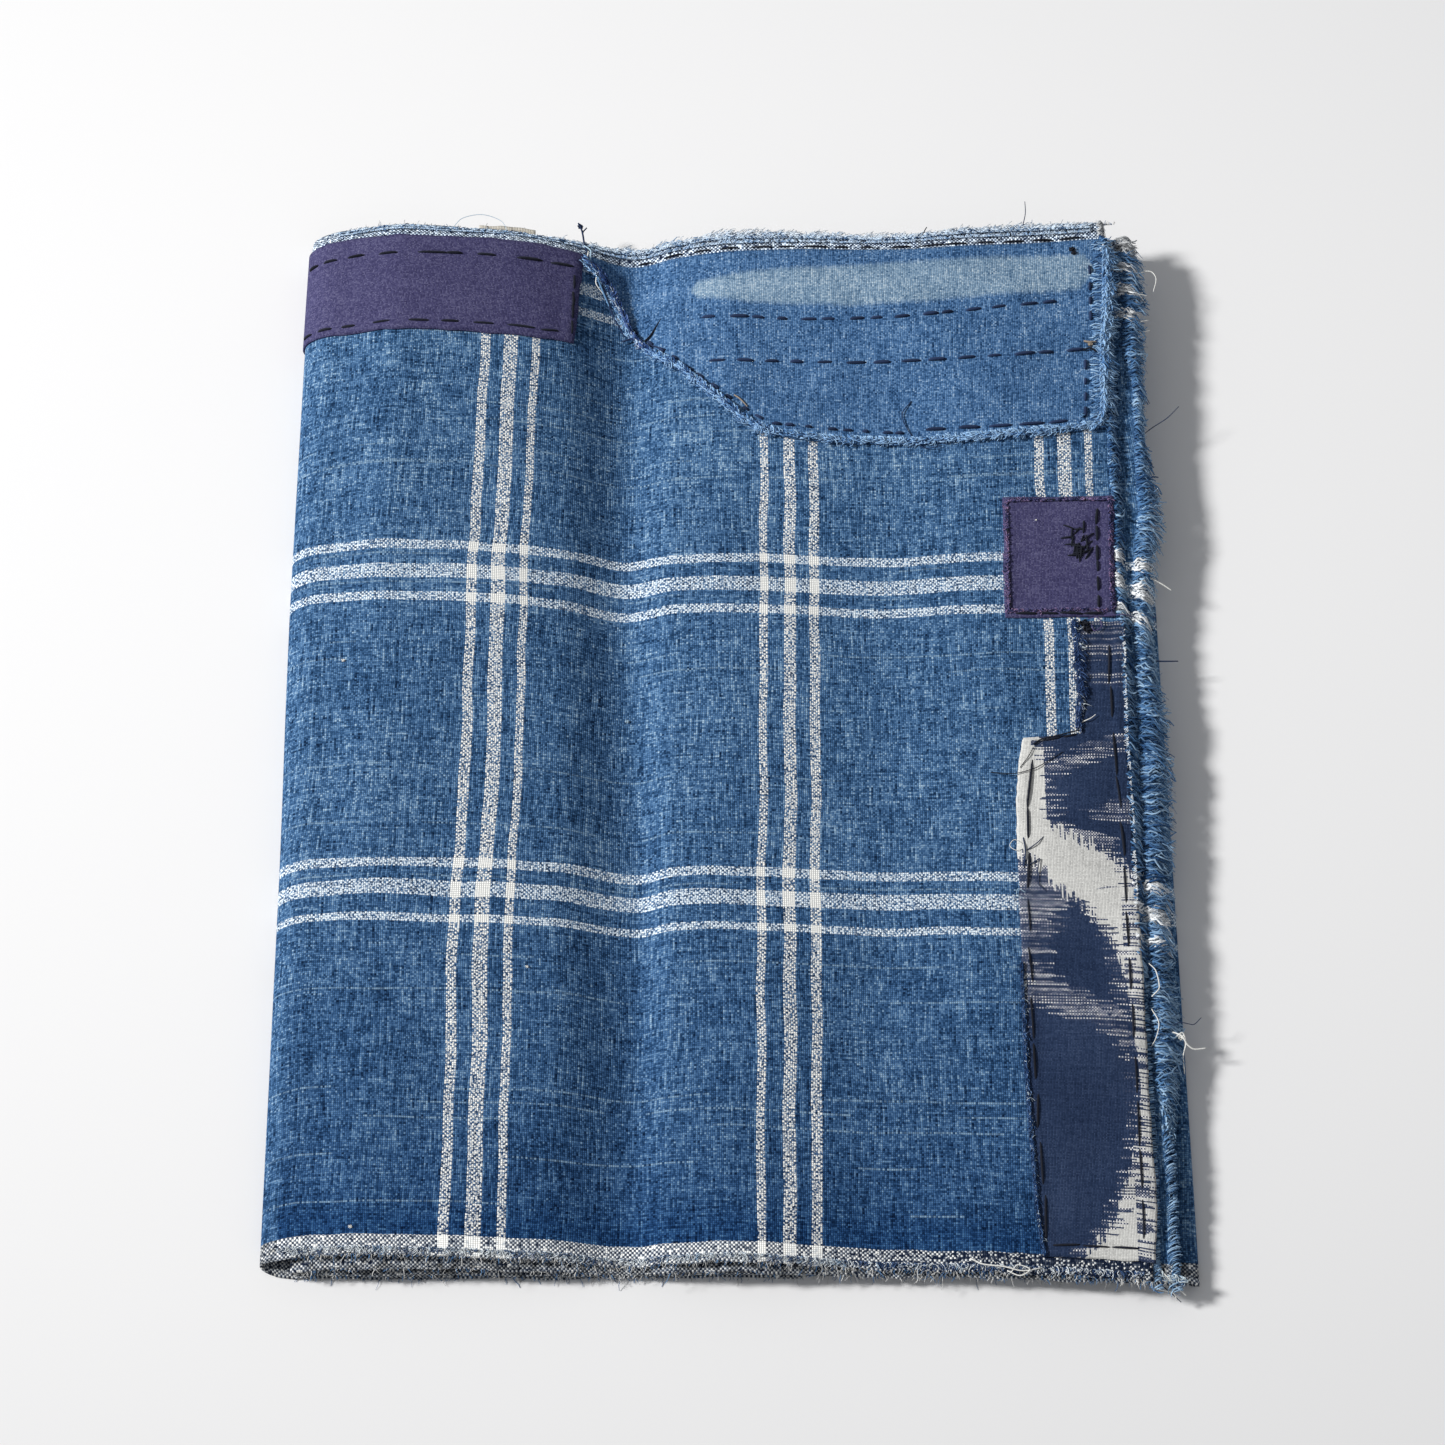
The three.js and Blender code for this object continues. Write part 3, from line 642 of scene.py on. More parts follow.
# The frayed cut ends of the top and the second layer. The last wefts are gone there, so the
# warp yarns stand free: each has opened into a few fine fibres, white where a stripe ends.
def tubes(paths, radii, sides):
    """Closed round yarns: a ring of points square to the path at every step, capped at both
    ends. paths is yarns by steps by 3, radii yarns by steps."""
    along = np.gradient(paths, axis=1)
    along /= np.linalg.norm(along, axis=-1, keepdims=True) + 1e-9
    aside = np.cross(along, (0.13, 0.21, 1.0))
    aside /= np.linalg.norm(aside, axis=-1, keepdims=True) + 1e-9
    lift = np.cross(aside, along)
    angle = 2 * np.pi * np.arange(sides) / sides
    ring = np.cos(angle)[:, None] * aside[:, :, None] + np.sin(angle)[:, None] * lift[:, :, None]
    points = paths[:, :, None] + radii[:, :, None, None] * ring
    yarns, steps = radii.shape
    base = (np.arange(yarns) * steps * sides)[:, None, None]
    step = np.arange(steps - 1)[None, :, None] * sides
    side, next_side = np.arange(sides), (np.arange(sides) + 1) % sides
    walls = [base + step + side, base + step + next_side]
    walls += [base + step + sides + next_side, base + step + sides + side]
    quads = np.stack(walls, -1).reshape(-1, 4)
    starts = (base[:, 0] + side[::-1]).tolist()
    ends = (base[:, 0] + (steps - 1) * sides + side).tolist()
    return points, quads.tolist() + starts + ends


# Painted light: these yarn blues are lighter than the cloth's own, so that frays lying in the top
# layer's shade read bright.
YARN_BLUE_WITH_PAINTED_LIGHT = np.array(((0.024, 0.075, 0.19), (0.105, 0.24, 0.46), (0.36, 0.54, 0.74)))
YARN_WHITE = np.array((0.90, 0.93, 0.96))
yarn_finish = Finish("frayed_yarn", roughness=0.9, sheen=0.05, gloss=0.1)
dye_node = yarn_finish.tree.nodes.new("ShaderNodeAttribute")
dye_node.attribute_name = "dye"
place_node = yarn_finish.tree.nodes.new("ShaderNodeTexCoord")
grain = yarn_finish.tree.nodes.new("ShaderNodeTexNoise")
grain.inputs["Scale"].default_value = 2600.0
yarn_finish.tree.links.new(place_node.outputs["Object"], grain.inputs["Vector"])
grain_term = Term(yarn_finish.tree, grain.outputs[0])
yarn_finish.paint(
    yarn_finish.shaded(dye_node.outputs["Color"], grain_term * 0.9 + 0.55), grain_term, depth=0.05
)


def blue_yarn(share):
    """A yarn colour between the dark, the middle and the pale blue, for shares from 0 to 1."""
    share = np.clip(share, 0, 1)[..., None] * 2
    dark, middle, pale = YARN_BLUE_WITH_PAINTED_LIGHT
    low = dark + (middle - dark) * np.clip(share, 0, 1)
    return low + (pale - middle) * np.clip(share - 1, 0, 1)


def stripe_here(across):
    """True where a warp yarn belongs to a white stripe."""
    place = (across - FIRST_ROW_ACROSS + ROW_STEP / 2) % ROW_STEP - ROW_STEP / 2
    hit = np.zeros(np.shape(across), bool)
    for centre, half in ROW_STRIPES:
        hit |= np.abs(place - centre) < half
    return hit & (np.asarray(across) > STRIPED_WARPS_START)


def yarn_piece(name, paths, radii, dye, sides=3, nodes=()):
    """Many yarns as one mesh, with a colour for each step of each yarn."""
    points, faces = tubes(paths, radii, sides)
    colours = np.repeat(dye[:, :, None], sides, 2)
    add_piece(name, points, faces, yarn_finish, dye=colours, nodes=nodes)


def frayed_end(layer, root_x, reach, seed, each, width, steps, shape):
    """Paths, radii and colours of a cut end's strands. Each leaves the cloth along X with the
    tuft that it belongs to, waves, lies over or under its neighbours, and sags. Towards the
    near corner the strands wind round each other like rope. each is how many a warp yarn opens
    into, and shape holds how deep their roots lie inside the cloth, and how they lean, stand
    off the cloth, drop, and from where on they wind."""
    dice = np.random.default_rng(seed)
    across = np.repeat(np.arange(0.4, LOOM_WIDTH, THREAD_PITCH), each)
    count = len(across)
    across = across + dice.normal(0, 0.15, count)
    t = np.linspace(0, 1, steps)
    inside = np.interp(across, *shape["inside"]) * dice.uniform(0.35, 1, count)
    x0 = root_x(across) - inside
    edge_warps = across > SELVEDGE["far"] + 1
    white = stripe_here(across) | edge_warps
    length = reach(across) * (1 + 0.2 * wobble(across, 2.2, seed + 2) + dice.normal(0, 0.1, count))
    out = (inside + length * (1 - 0.22 * white))[:, None] * t
    lean = shape["lean"] + 0.4 * wobble(across, 9, seed + 3) + dice.normal(0, 0.26, count)
    pull = 2.9 * wobble(across, 3.1, seed + 1) * (1 - 0.6 * white)
    phase, pace = dice.uniform(0, 6.3, count)[:, None], dice.uniform(1.1, 2.1, count)[:, None]
    wave = dice.uniform(0.2, 0.75, count)[:, None] * (np.sin(pace * out + phase) - np.sin(phase))
    curl = 1.5 * wobble(across, 2.4, seed + 8)[:, None] + dice.normal(0, 0.85, count)[:, None]
    wave = wave + curl * np.clip((t - 0.6) / 0.4, 0, 1) ** 2
    side = lean[:, None] * out * (0.5 + 0.5 * t) + pull[:, None] * t**2 * 0.6 + wave
    bulk = dice.uniform(0.0, shape["bulk"], count)[:, None]
    rise = 0.45 + bulk * np.sin(np.pi * np.clip(t * 1.15, 0, 1))
    rise = rise + 0.25 * np.sin(pace * out * 1.4 + 2 * phase)
    sag = shape["drop"] * t**1.6 * (1 + 0.25 * dice.normal(0, 1, count))[:, None]
    roll = np.clip((shape["roll_below"] - across) / 25, 0, 1)[:, None]
    turn = dice.uniform(0, 5.5, count)[:, None] + 4.6 * t
    size = 1.05 + 0.22 * wobble(across, 5, seed + 4) + dice.normal(0, 0.12, count)
    x_rope = inside[:, None] * 0.6 + 1.5 + size[:, None] * 1.35 * np.cos(turn)
    z_rope = 0.4 + size[:, None] * np.sin(turn) - 0.35 * shape["drop"]
    y_rope = -3.4 * t + 0.5 * np.sin(turn)
    x = x0[:, None] + out * (1 - roll) + x_rope * roll
    z = layer_z(layer, x0, across)[:, None] + (rise - sag) * (1 - roll) + z_rope * roll
    y = weave_y(x0, across, slip_of(layer, x0, across))[:, None] + side * (1 - roll) + y_rope * roll
    paths = np.stack([x, y, np.maximum(z, 0.3)], -1)
    radii = dice.uniform(*width, count)[:, None] * (1 - 0.5 * t**2)
    # The strands are darker at their roots and paler towards their tips: partly the yarn's own faded
    # ends, partly painted shade at the roots by the cloth's edge and painted highlight on the tips.
    shade = 0.24 + 0.56 * t + 0.3 * wobble(across, 3.5, seed + 6)[:, None]
    # Painted light and shade: where the strands wind into a rope they are lighter on its top and darker
    # beneath it.
    blue = blue_yarn(shade + 0.4 * np.sin(turn) * roll + dice.normal(0, 0.34, count)[:, None])
    pale = (dice.uniform(0.75, 1.2, count) * np.where(edge_warps, 0.55, 1.0))[:, None, None]
    pale = YARN_WHITE * pale * np.ones((1, steps, 1))
    return paths, radii, np.where(white[:, None, None], pale, blue)


def top_root(across):
    """X of the top layer's cut end, the same for every place across the loom."""
    return np.full(across.shape, TOP_END_X)


def top_reach(across):
    """How far the top layer's strands stand out, in straight steps between a few places."""
    return np.interp(across, [0, 50, 100, 150, 200, 262, 337], [3.2, 3.2, 3.6, 4.0, 3.2, 2.4, 1.6])


def second_root(across):
    """X of the second layer's cut end, a straight line from its near to its far corner."""
    return towards_far(SECOND_END_X, across / LOOM_WIDTH)


def second_reach(across):
    """How far the second layer's strands stand out, in straight steps between a few places."""
    return np.interp(
        across,
        [0, 30, 47, 71, 90, 106, 150, 178, 192, 205, 225, 240, 250, 266, 284, 322, 337],
        [2.6, 2.8, 3.2, 5.2, 4.2, 4.0, 5.6, 5.2, 3.0, 2.2, 4.2, 6.6, 5.6, 2.6, 3.0, 4.6, 3.0],
    )


TOP_FRAYS = {
    "inside": ((0, 337), (1.6, 1.6)),
    "lean": -0.12, "bulk": 1.5, "drop": 4.2, "roll_below": 98,
}
SECOND_FRAYS = {
    "inside": ((215, 240, 285, 298), (4.2, 1.2, 1.2, 4.6)),
    "lean": -0.16, "bulk": 2.0, "drop": 2.7, "roll_below": 62,
}
CUT_ENDS = (
    ("top_layer", "top", top_root, top_reach, TOP_FRAYS, 31, "fringe_top_layer"),
    ("second_layer", "second", second_root, second_reach, SECOND_FRAYS, 41, "fringe_second_layer"),
)
for end, layer, root, reach, shape, seed, node in CUT_ENDS:
    strands = frayed_end(layer, root, reach, seed, 2, (0.22, 0.4), 8, shape)
    yarn_piece("frays_" + end, *strands, nodes=[node])
    fibres = frayed_end(layer, root, reach, seed + 50, 2, (0.06, 0.13), 6, shape)
    yarn_piece("fibres_" + end, *fibres)


# The long purple patch. A narrow piece of fine plain weave, its edges turned under, sewn along
# the far selvedge and round the left fold with long running stitches in dark thread.
FAR_SEAM = LOOM_WIDTH - 6.5
PURPLE_NEAR_EDGE = 296.2
PURPLE_RIGHT = {"near": -46.0, "far": -43.6}
PURPLE_PITCH = 0.42
PATCH_THICKNESS = 0.5
PATCH_LIFT = 0.85
PURPLE_SHADES = ((0.0, (0.030, 0.028, 0.085)), (0.5, (0.072, 0.068, 0.165)), (1.0, (0.16, 0.155, 0.28)))
STITCH_DARK = np.array((0.012, 0.014, 0.022))


def thread_tone(finish, weft, across, warp, along, warp_over):
    """The tone of the thread that lies on top: every thread has its own, and it changes slowly
    along the thread."""
    weft_tone = finish.mottle(weft * THREADS_APART, across, 3.0)
    warp_tone = finish.mottle(along, warp * THREADS_APART, 8.0)
    return weft_tone.between(warp_tone, warp_over)


purple_cotton = Finish("purple_cotton", roughness=0.92, sheen=0.0, gloss=0.06)
f = purple_cotton
along, across = f.flat_place()
weft, warp, warp_over, crown = crossing(f, along, across, PURPLE_PITCH, 0.6, 13.0)
tone = thread_tone(f, weft, across / 4, warp, along / 4, warp_over)
speckle = f.chance(weft, warp) - 0.5
tone = tone * 0.42 + speckle * 0.55 + 0.5 + f.mottle(along / 12, across / 12, 12.0) * 0.16
colour = f.shades(tone.limited(), PURPLE_SHADES)
lint = f.mottle(along / 0.5, across / 0.5, 21.0, detail=3.0).over(0.42)
colour = f.blend(lint * 0.35, colour, (0.30, 0.29, 0.36))
# Painted shade between the threads: the colour is darker where the thread's crown is low.
f.paint(f.shaded(colour, crown * 0.3 + 0.78), crown, depth=0.1)


def above_top(x, across, lift):
    """A point over the top layer: lift millimetres off its mid-surface, square to its slope."""
    x, across = np.broadcast_arrays(np.asarray(x, float), np.asarray(across, float))
    slope = top_z(x + 0.5, across) - top_z(x - 0.5, across)
    length = np.hypot(1, slope)
    px = x - slope / length * lift
    return np.stack([px, weave_y(px, across), top_z(x, across) + lift / length], -1)


def around_nose(turns, across, lift):
    """A point outside the outer fold, lift millimetres off its mid-surface."""
    x, z = outer_fold(across, turns)
    ahead, behind = outer_fold(across, turns - 0.02), outer_fold(across, turns + 0.02)
    tx, tz = ahead[0] - behind[0], ahead[1] - behind[1]
    length = np.hypot(tx, tz)
    px, pz = x + tz / length * lift, z - tx / length * lift
    return np.stack([px, weave_y(px, across), pz], -1)


def puckers(along, across, from_edge, seed):
    """How far a sewn patch stands off the cloth: pressed down at its edge, with a low ridge
    where the hem is turned under, and soft hollows towards its middle."""
    inside = np.clip(from_edge / 9, 0, 1)
    hem = 0.28 * np.exp(-((from_edge - 2.2) / 1.3) ** 2)
    hollows = wobble(along, 11, seed) * wobble(across, 13, seed + 1) * 0.45
    return -0.15 + hem + inside * (0.25 + hollows)


purple_width = FAR_SEAM - PURPLE_NEAR_EDGE
purple_rows = np.linspace(PURPLE_NEAR_EDGE, FAR_SEAM, 30)[:, None]
purple_share = (purple_rows - PURPLE_NEAR_EDGE) / purple_width
purple_right = towards_far(PURPLE_RIGHT, purple_share) + 0.25 * wobble(purple_rows, 3, 51)
purple_x = eased(purple_right, nose_x(purple_rows), 90)
purple_edge = np.minimum(purple_rows - PURPLE_NEAR_EDGE, FAR_SEAM - purple_rows)
purple_edge = np.minimum(purple_right - purple_x, purple_edge)
purple_flat_part = above_top(
    purple_x,
    purple_rows + 0.3 * wobble(purple_x, 4, 52) * (1 - 2 * purple_share),
    PATCH_LIFT + puckers(purple_x, purple_rows, purple_edge, 53),
)
purple_turns = np.linspace(1, -0.45, 22)[None, 1:]
purple_nose = around_nose(purple_turns, purple_rows + 0 * purple_turns, PATCH_LIFT - 0.05)
purple_points = np.concatenate([purple_flat_part, purple_nose], 1)
purple_steps = np.linalg.norm(np.diff(purple_points, axis=1), axis=-1)
purple_along = np.concatenate([0 * purple_rows, np.cumsum(purple_steps, 1)], 1)
purple_map = np.stack([-purple_along, np.broadcast_to(purple_rows, purple_along.shape)], -1)
purple_long = add_piece(
    "purple_patch_long", purple_points, grid_faces(*purple_points.shape[:2]).tolist(),
    purple_cotton, flat=purple_map, nodes=["patch_purple_long"],
)
thicken(purple_long, PATCH_THICKNESS)


def lengths_along(route):
    """How far along a route each of its places lies."""
    return np.concatenate([[0], np.cumsum(np.linalg.norm(np.diff(route, axis=0), axis=1))])


def stitch_paths(route, stitch, gap, seed, lift, uneven=0.18):
    """Running stitches along a route of places on the top layer. Each is an arc that comes up
    out of the cloth, lies on it and goes down again."""
    dice = np.random.default_rng(seed)
    route = np.array(route, float)
    ends = lengths_along(route)
    count = int(ends[-1] / (stitch + gap)) + 1
    starts = (np.arange(count) + 0.5 - stitch / (stitch + gap) / 2) * ends[-1] / count
    starts = starts + dice.normal(0, uneven * gap, count)
    lengths = stitch * (1 + dice.normal(0, uneven, count))
    t = np.linspace(0, 1, 7)
    at = np.clip(starts[:, None] + lengths[:, None] * t, 0, ends[-1])
    tilt = dice.normal(0, 0.035, count)[:, None] * (t - 0.5) * stitch
    x, across = np.interp(at, ends, route[:, 0]), np.interp(at, ends, route[:, 1])
    run = (route[-1] - route[0]) / np.hypot(*(route[-1] - route[0]))
    height = lift - 0.55 * np.abs(2 * t - 1) ** 4
    return above_top(x - run[1] * tilt, across + run[0] * tilt, height + 0 * at)


def sewing(name, rows, colour, radius):
    """Rows of running stitches as one piece, with each thread a little uneven in thickness."""
    paths = np.concatenate(rows)
    dice = np.random.default_rng(len(paths))
    t = np.linspace(0, 1, paths.shape[1])
    swell = 1 - 0.3 * np.abs(2 * t - 1) ** 3
    radii = radius * swell * dice.uniform(0.85, 1.15, len(paths))[:, None]
    dye = colour * dice.uniform(0.8, 1.4, len(paths))[:, None, None] * np.ones((1, len(t), 1))
    yarn_piece(name, paths, radii, dye, sides=6)


PATCH_TOP = PATCH_LIFT + PATCH_THICKNESS / 2
STITCH_LIFT = PATCH_TOP + 0.3


def nose_stitches(across, first_turns, turn):
    """Running stitches that go on round the outer fold: where each starts, and its length, are
    turns of the fold, from 1 at its top down to 0 at its outermost line."""
    t = np.linspace(0, 1, 7)
    turns = np.array(first_turns)[:, None] - turn * t
    height = STITCH_LIFT - 0.55 * np.abs(2 * t - 1) ** 4
    return around_nose(turns, across + 0 * turns, height + 0 * turns)


# Each row of stitches: its route over X and across, stitch and gap lengths, and seed.
LONG_ROWS = (
    (((-117.5, 324), (-99.7, 323.7), (-68.8, 324.4), (-46, 324.3)), 6.4, 4.4, 61),
    (((-118, 298.5), (-98.8, 298.9), (-68.2, 299.3), (-48, 299)), 7.6, 3.8, 62),
    (((-46.4, 323), (-46.9, 299.5)), 4.8, 2.2, 63),
)
sewing(
    "stitches_purple_long",
    [
        *(stitch_paths(*row, STITCH_LIFT) for row in LONG_ROWS),
        nose_stitches(323.6, (0.98, 0.56), 0.28),
        nose_stitches(298.6, (0.96, 0.5), 0.3),
    ],
    STITCH_DARK, 0.4,
)


# The indigo patch. A large piece of the same kind of cloth, paler, with a long faded band; its
# slanting lower left edge is torn and overcast, and rows of running stitches hold it down.
INDIGO_LOWER_EDGE = np.array(
    [
        (-42.6, 326.5), (-38.0, 322.0), (-33.0, 313.0), (-29.0, 305.0), (-22.0, 297.0), (-14.0, 290.0),
        (-1.0, 276.5), (11.0, 266.0), (20.0, 263.5), (69.0, 261.8), (117.0, 264.8),
    ],
    dtype=[("x", float), ("across", float)],
)
INDIGO_RIGHT = {"near": 116.2, "far": 119.5}
PATCH_BLUE_PITCH = 0.56
PATCH_BLUE_SHADES = (
    (0.0, (0.006, 0.026, 0.08)),
    (0.3, (0.038, 0.105, 0.24)),
    (0.5, (0.074, 0.172, 0.36)),
    (0.7, (0.14, 0.27, 0.48)),
    (1.0, (0.36, 0.50, 0.68)),
)
FADED_SHADES = ((0.0, (0.05, 0.12, 0.23)), (0.5, (0.23, 0.355, 0.50)), (1.0, (0.54, 0.66, 0.76)))
STITCH_NAVY = np.array((0.016, 0.028, 0.07))

patch_indigo = Finish("patch_indigo", roughness=0.95, sheen=0.0, gloss=0.05)
f = patch_indigo
along, across = f.flat_place()
weft, warp, warp_over, crown = crossing(f, along, across, PATCH_BLUE_PITCH, 1.0, 17.0)
tone = thread_tone(f, weft, across / 6, warp, along / 7, warp_over)
speckle = f.chance(weft, warp) - 0.5 + f.mottle(along / 0.62, across / 0.62, 33.0, detail=0.0) * 0.8
tone = tone * 0.36 + f.mottle(weft * THREADS_APART, across / 9, 3.0) * 0.38 + speckle * 0.44
tone = tone + f.mottle(along / 30, across / 8, 12.0) * 0.16 + 0.475
band_top = f.curve(
    along, -20, 120, 300, 337,
    (
        (-20, 317), (-10.5, 317.5), (-7, 321.5), (8.5, 323.5), (39, 325.3), (55, 326.4), (86, 326.9),
        (112, 325.6), (116, 319),
    ),
)
band_low = f.curve(
    along, -20, 120, 300, 337,
    (
        (-20, 319), (-10.5, 317.5), (-7, 313.5), (8.5, 310.6), (39, 309), (55, 309.7), (85, 311.5),
        (110, 312), (116, 319),
    ),
)
ragged = f.mottle(weft * 1.7, 0.0, 5.0) * 1.6
faded = ((band_top - across + ragged) / 1.8).limited()
faded = faded * ((across - band_low + ragged) / 1.8).limited()
plain_blue = f.shades(tone.limited(), PATCH_BLUE_SHADES)
colour = f.blend(faded, plain_blue, f.shades(tone.limited(), FADED_SHADES))
# Painted shade between the threads: the colour is darker where the thread's crown is low.
f.paint(f.shaded(colour, crown * 0.4 + 0.7), crown, depth=0.12)


def lower_edge(x):
    """The patch's lower edge, a smooth curve through its places."""
    return curve_through(INDIGO_LOWER_EDGE["x"], INDIGO_LOWER_EDGE["across"], x)


indigo_x = np.linspace(INDIGO_LOWER_EDGE["x"][0], INDIGO_RIGHT["near"], 130)[None, :]
indigo_share = np.linspace(0, 1, 56)[:, None]
lean = indigo_share * (INDIGO_RIGHT["far"] - INDIGO_RIGHT["near"])
indigo_x = indigo_x + lean * (indigo_x - indigo_x[0, 0]) / (indigo_x[0, -1] - indigo_x[0, 0])
indigo_near = lower_edge(indigo_x) + 0.5 * wobble(indigo_x, 2.4, 71)
indigo_across = indigo_near + (FAR_SEAM - indigo_near) * indigo_share
indigo_edge = np.minimum(indigo_across - indigo_near, FAR_SEAM - indigo_across)
indigo_edge = np.minimum(indigo_edge, INDIGO_RIGHT["near"] + lean - indigo_x)
indigo_points = above_top(
    indigo_x, indigo_across, PATCH_LIFT + puckers(indigo_x, indigo_across, indigo_edge, 72)
)
indigo_map = np.stack([indigo_x, indigo_across], -1)
indigo_patch = add_piece(
    "indigo_patch", indigo_points, grid_faces(*indigo_points.shape[:2]).tolist(), patch_indigo,
    flat=indigo_map, nodes=["patch_indigo"],
)
thicken(indigo_patch, PATCH_THICKNESS)
indigo_area = np.trapz(FAR_SEAM - indigo_near[0], indigo_x[0])

INDIGO_ROWS = (
    (((-7, 307), (24, 305.1), (54.5, 305.4), (85.3, 307.7), (103.8, 309.1)), 4.2, 3.4, 73),
    (((-6, 291), (39, 290), (69.5, 289.8), (84.7, 290.4), (112, 291.7)), 5.0, 3.7, 74),
    (((61, 266.4), (84, 265.9), (106, 267)), 5.8, 3.4, 75),
    (((110.9, 289), (110, 268)), 2.6, 2.8, 76),
    (((-36, 322), (-28.5, 307.5), (-14, 293), (4, 275.5), (14, 268.2), (58, 265.4)), 2.4, 3.4, 77),
    (((113.4, 322), (113, 300)), 2.6, 3.4, 78),
)
SELVEDGE_ROW = ((-28, 331.6), (-12, 332), (24, 331.8), (86, 331.6), (112, 331.6))
sewing(
    "stitches_indigo_patch", [stitch_paths(*row, PATCH_TOP + 0.4) for row in INDIGO_ROWS],
    STITCH_NAVY, 0.5,
)
sewing(
    "stitches_far_selvedge", [stitch_paths(SELVEDGE_ROW, 6.2, 2.8, 79, 0.85)], STITCH_DARK, 0.26,
)


def tufts_along(route, count, reach, curl, lift, width, shade, seed, tint, steps=5):
    """Short curly fibres that leave a route on the top layer to its right-hand side. reach and
    curl are in millimetres, shade gives the yarn's tone, from 0 to 1, and tint dyes it."""
    dice = np.random.default_rng(seed)
    route = np.array(route, float)
    ends = lengths_along(route)
    at = np.sort(dice.uniform(0, ends[-1], count))
    x, across = np.interp(at, ends, route[:, 0]), np.interp(at, ends, route[:, 1])
    ahead = np.clip(at + 1.5, 0, ends[-1])
    behind = np.clip(at - 1.5, 0, ends[-1])
    run_x = np.interp(ahead, ends, route[:, 0]) - np.interp(behind, ends, route[:, 0])
    run_y = np.interp(ahead, ends, route[:, 1]) - np.interp(behind, ends, route[:, 1])
    run = np.hypot(run_x, run_y)
    run_x, run_y = (run_x / run)[:, None], (run_y / run)[:, None]
    t = np.linspace(0, 1, steps)
    clump = 0.35 + 0.65 * np.clip(0.5 + wobble(at, 1.9, seed + 1), 0, 1)
    out = (reach * clump * dice.uniform(0.45, 1.15, count))[:, None] * t - 0.5
    turn = dice.uniform(2.5, 6.5, count)[:, None] * t + dice.uniform(0, 6.3, count)[:, None]
    size = (curl * dice.uniform(0.3, 1.0, count))[:, None]
    aside = dice.normal(0, 0.5, count)[:, None] + size * np.cos(turn)
    out = out + 0.5 * size * np.sin(turn)
    height = lift + np.abs(size * np.sin(turn * 0.9)) * 0.8 + dice.uniform(0, 0.35, count)[:, None]
    paths = above_top(
        x[:, None] + run_y * out + run_x * aside,
        across[:, None] - run_x * out + run_y * aside,
        height - 0.35 * t,
    )
    tone = shade + 0.25 * wobble(at, 2.7, seed + 2) + dice.normal(0, 0.3, count)
    radii = dice.uniform(*width, count)[:, None] * (1 - 0.35 * t)
    return paths, radii, blue_yarn(tone[:, None] + 0.1 * t) * np.array(tint)


def tuft_piece(name, rows, steps=5):
    """Tufts along several routes as one piece: each row holds what tufts_along asks for."""
    parts = zip(*(tufts_along(*row, steps=steps) for row in rows))
    yarn_piece(name, *(np.concatenate(part) for part in parts))


edge_x = np.concatenate([np.linspace(-43, 20, 60), np.linspace(22, 114, 40)])
edge_route = np.stack([edge_x, lower_edge(edge_x) + 0.9], -1)
slant, level_edge, corner = edge_route[:56], edge_route[55:], edge_route[:20]
OVERCAST_TINT = (0.95, 1.0, 1.06)
tuft_piece(
    "tufts_indigo_patch",
    [
        (slant, 800, 2.9, 1.5, 1.3, (0.16, 0.29), 0.74, 83, OVERCAST_TINT),
        (slant, 420, 2.0, 1.3, 1.6, (0.14, 0.26), 0.1, 90, (0.8, 0.8, 0.9)),
        (level_edge, 700, 2.4, 1.4, 1.3, (0.15, 0.27), 0.84, 84, OVERCAST_TINT),
        (corner, 170, 1.8, 1.5, 1.9, (0.16, 0.3), 0.05, 88, (0.7, 0.6, 0.8)),
        (corner, 60, 2.2, 1.3, 1.9, (0.12, 0.2), 1.3, 89, (1.6, 1.25, 1.1)),
    ],
    steps=6,
)
side_route = (
    (112.0, 264.2), (114.5, 266.5), (115.6, 270.0), (116.2, 290.0), (117.8, 310.0), (118.6, 326.0),
)
side_tufts = tufts_along(side_route, 900, 3.2, 1.5, 1.2, (0.15, 0.27), 0.76, 85, OVERCAST_TINT, 6)

fringe_dice = np.random.default_rng(86)
FRINGE_START = 264.8
fringe_across = np.repeat(np.arange(265.5, FAR_SEAM - 0.5, 0.5), 3)
fringe_count = len(fringe_across)
fringe_share = (fringe_across - FRINGE_START) / (FAR_SEAM - FRINGE_START)
fringe_x = towards_far(INDIGO_RIGHT, fringe_share) - fringe_dice.uniform(1.5, 5.5, fringe_count)
fringe_t = np.linspace(0, 1, 6)
fringe_length = 5.0 + 1.6 * wobble(fringe_across, 3, 86) + fringe_dice.normal(0, 0.6, fringe_count)
fringe_bend = -0.9 + fringe_dice.normal(0, 0.7, fringe_count) + 1.6 * wobble(fringe_across, 4, 87)
fringe_phase = fringe_dice.uniform(0, 6.3, fringe_count)[:, None]
fringe_bulk = fringe_dice.uniform(0.1, 0.9, fringe_count)[:, None]
fringe_paths = above_top(
    fringe_x[:, None] + fringe_length[:, None] * fringe_t,
    fringe_across[:, None] + fringe_bend[:, None] * fringe_t**2
    + 0.4 * (np.sin(8 * fringe_t + fringe_phase) - np.sin(fringe_phase)),
    1.05 + fringe_bulk * np.sin(np.pi * fringe_t) - 0.5 * fringe_t**2,
)
fringe_radii = fringe_dice.uniform(0.14, 0.26, fringe_count)[:, None] * (1 - 0.4 * fringe_t)
fringe_dye = blue_yarn(0.42 + 0.3 * fringe_t + fringe_dice.normal(0, 0.34, fringe_count)[:, None])
fringe_parts = zip(side_tufts, (fringe_paths, fringe_radii, fringe_dye))
yarn_piece(
    "frays_indigo_patch", *(np.concatenate(parts) for parts in fringe_parts),
    nodes=["fringe_indigo_patch"],
)


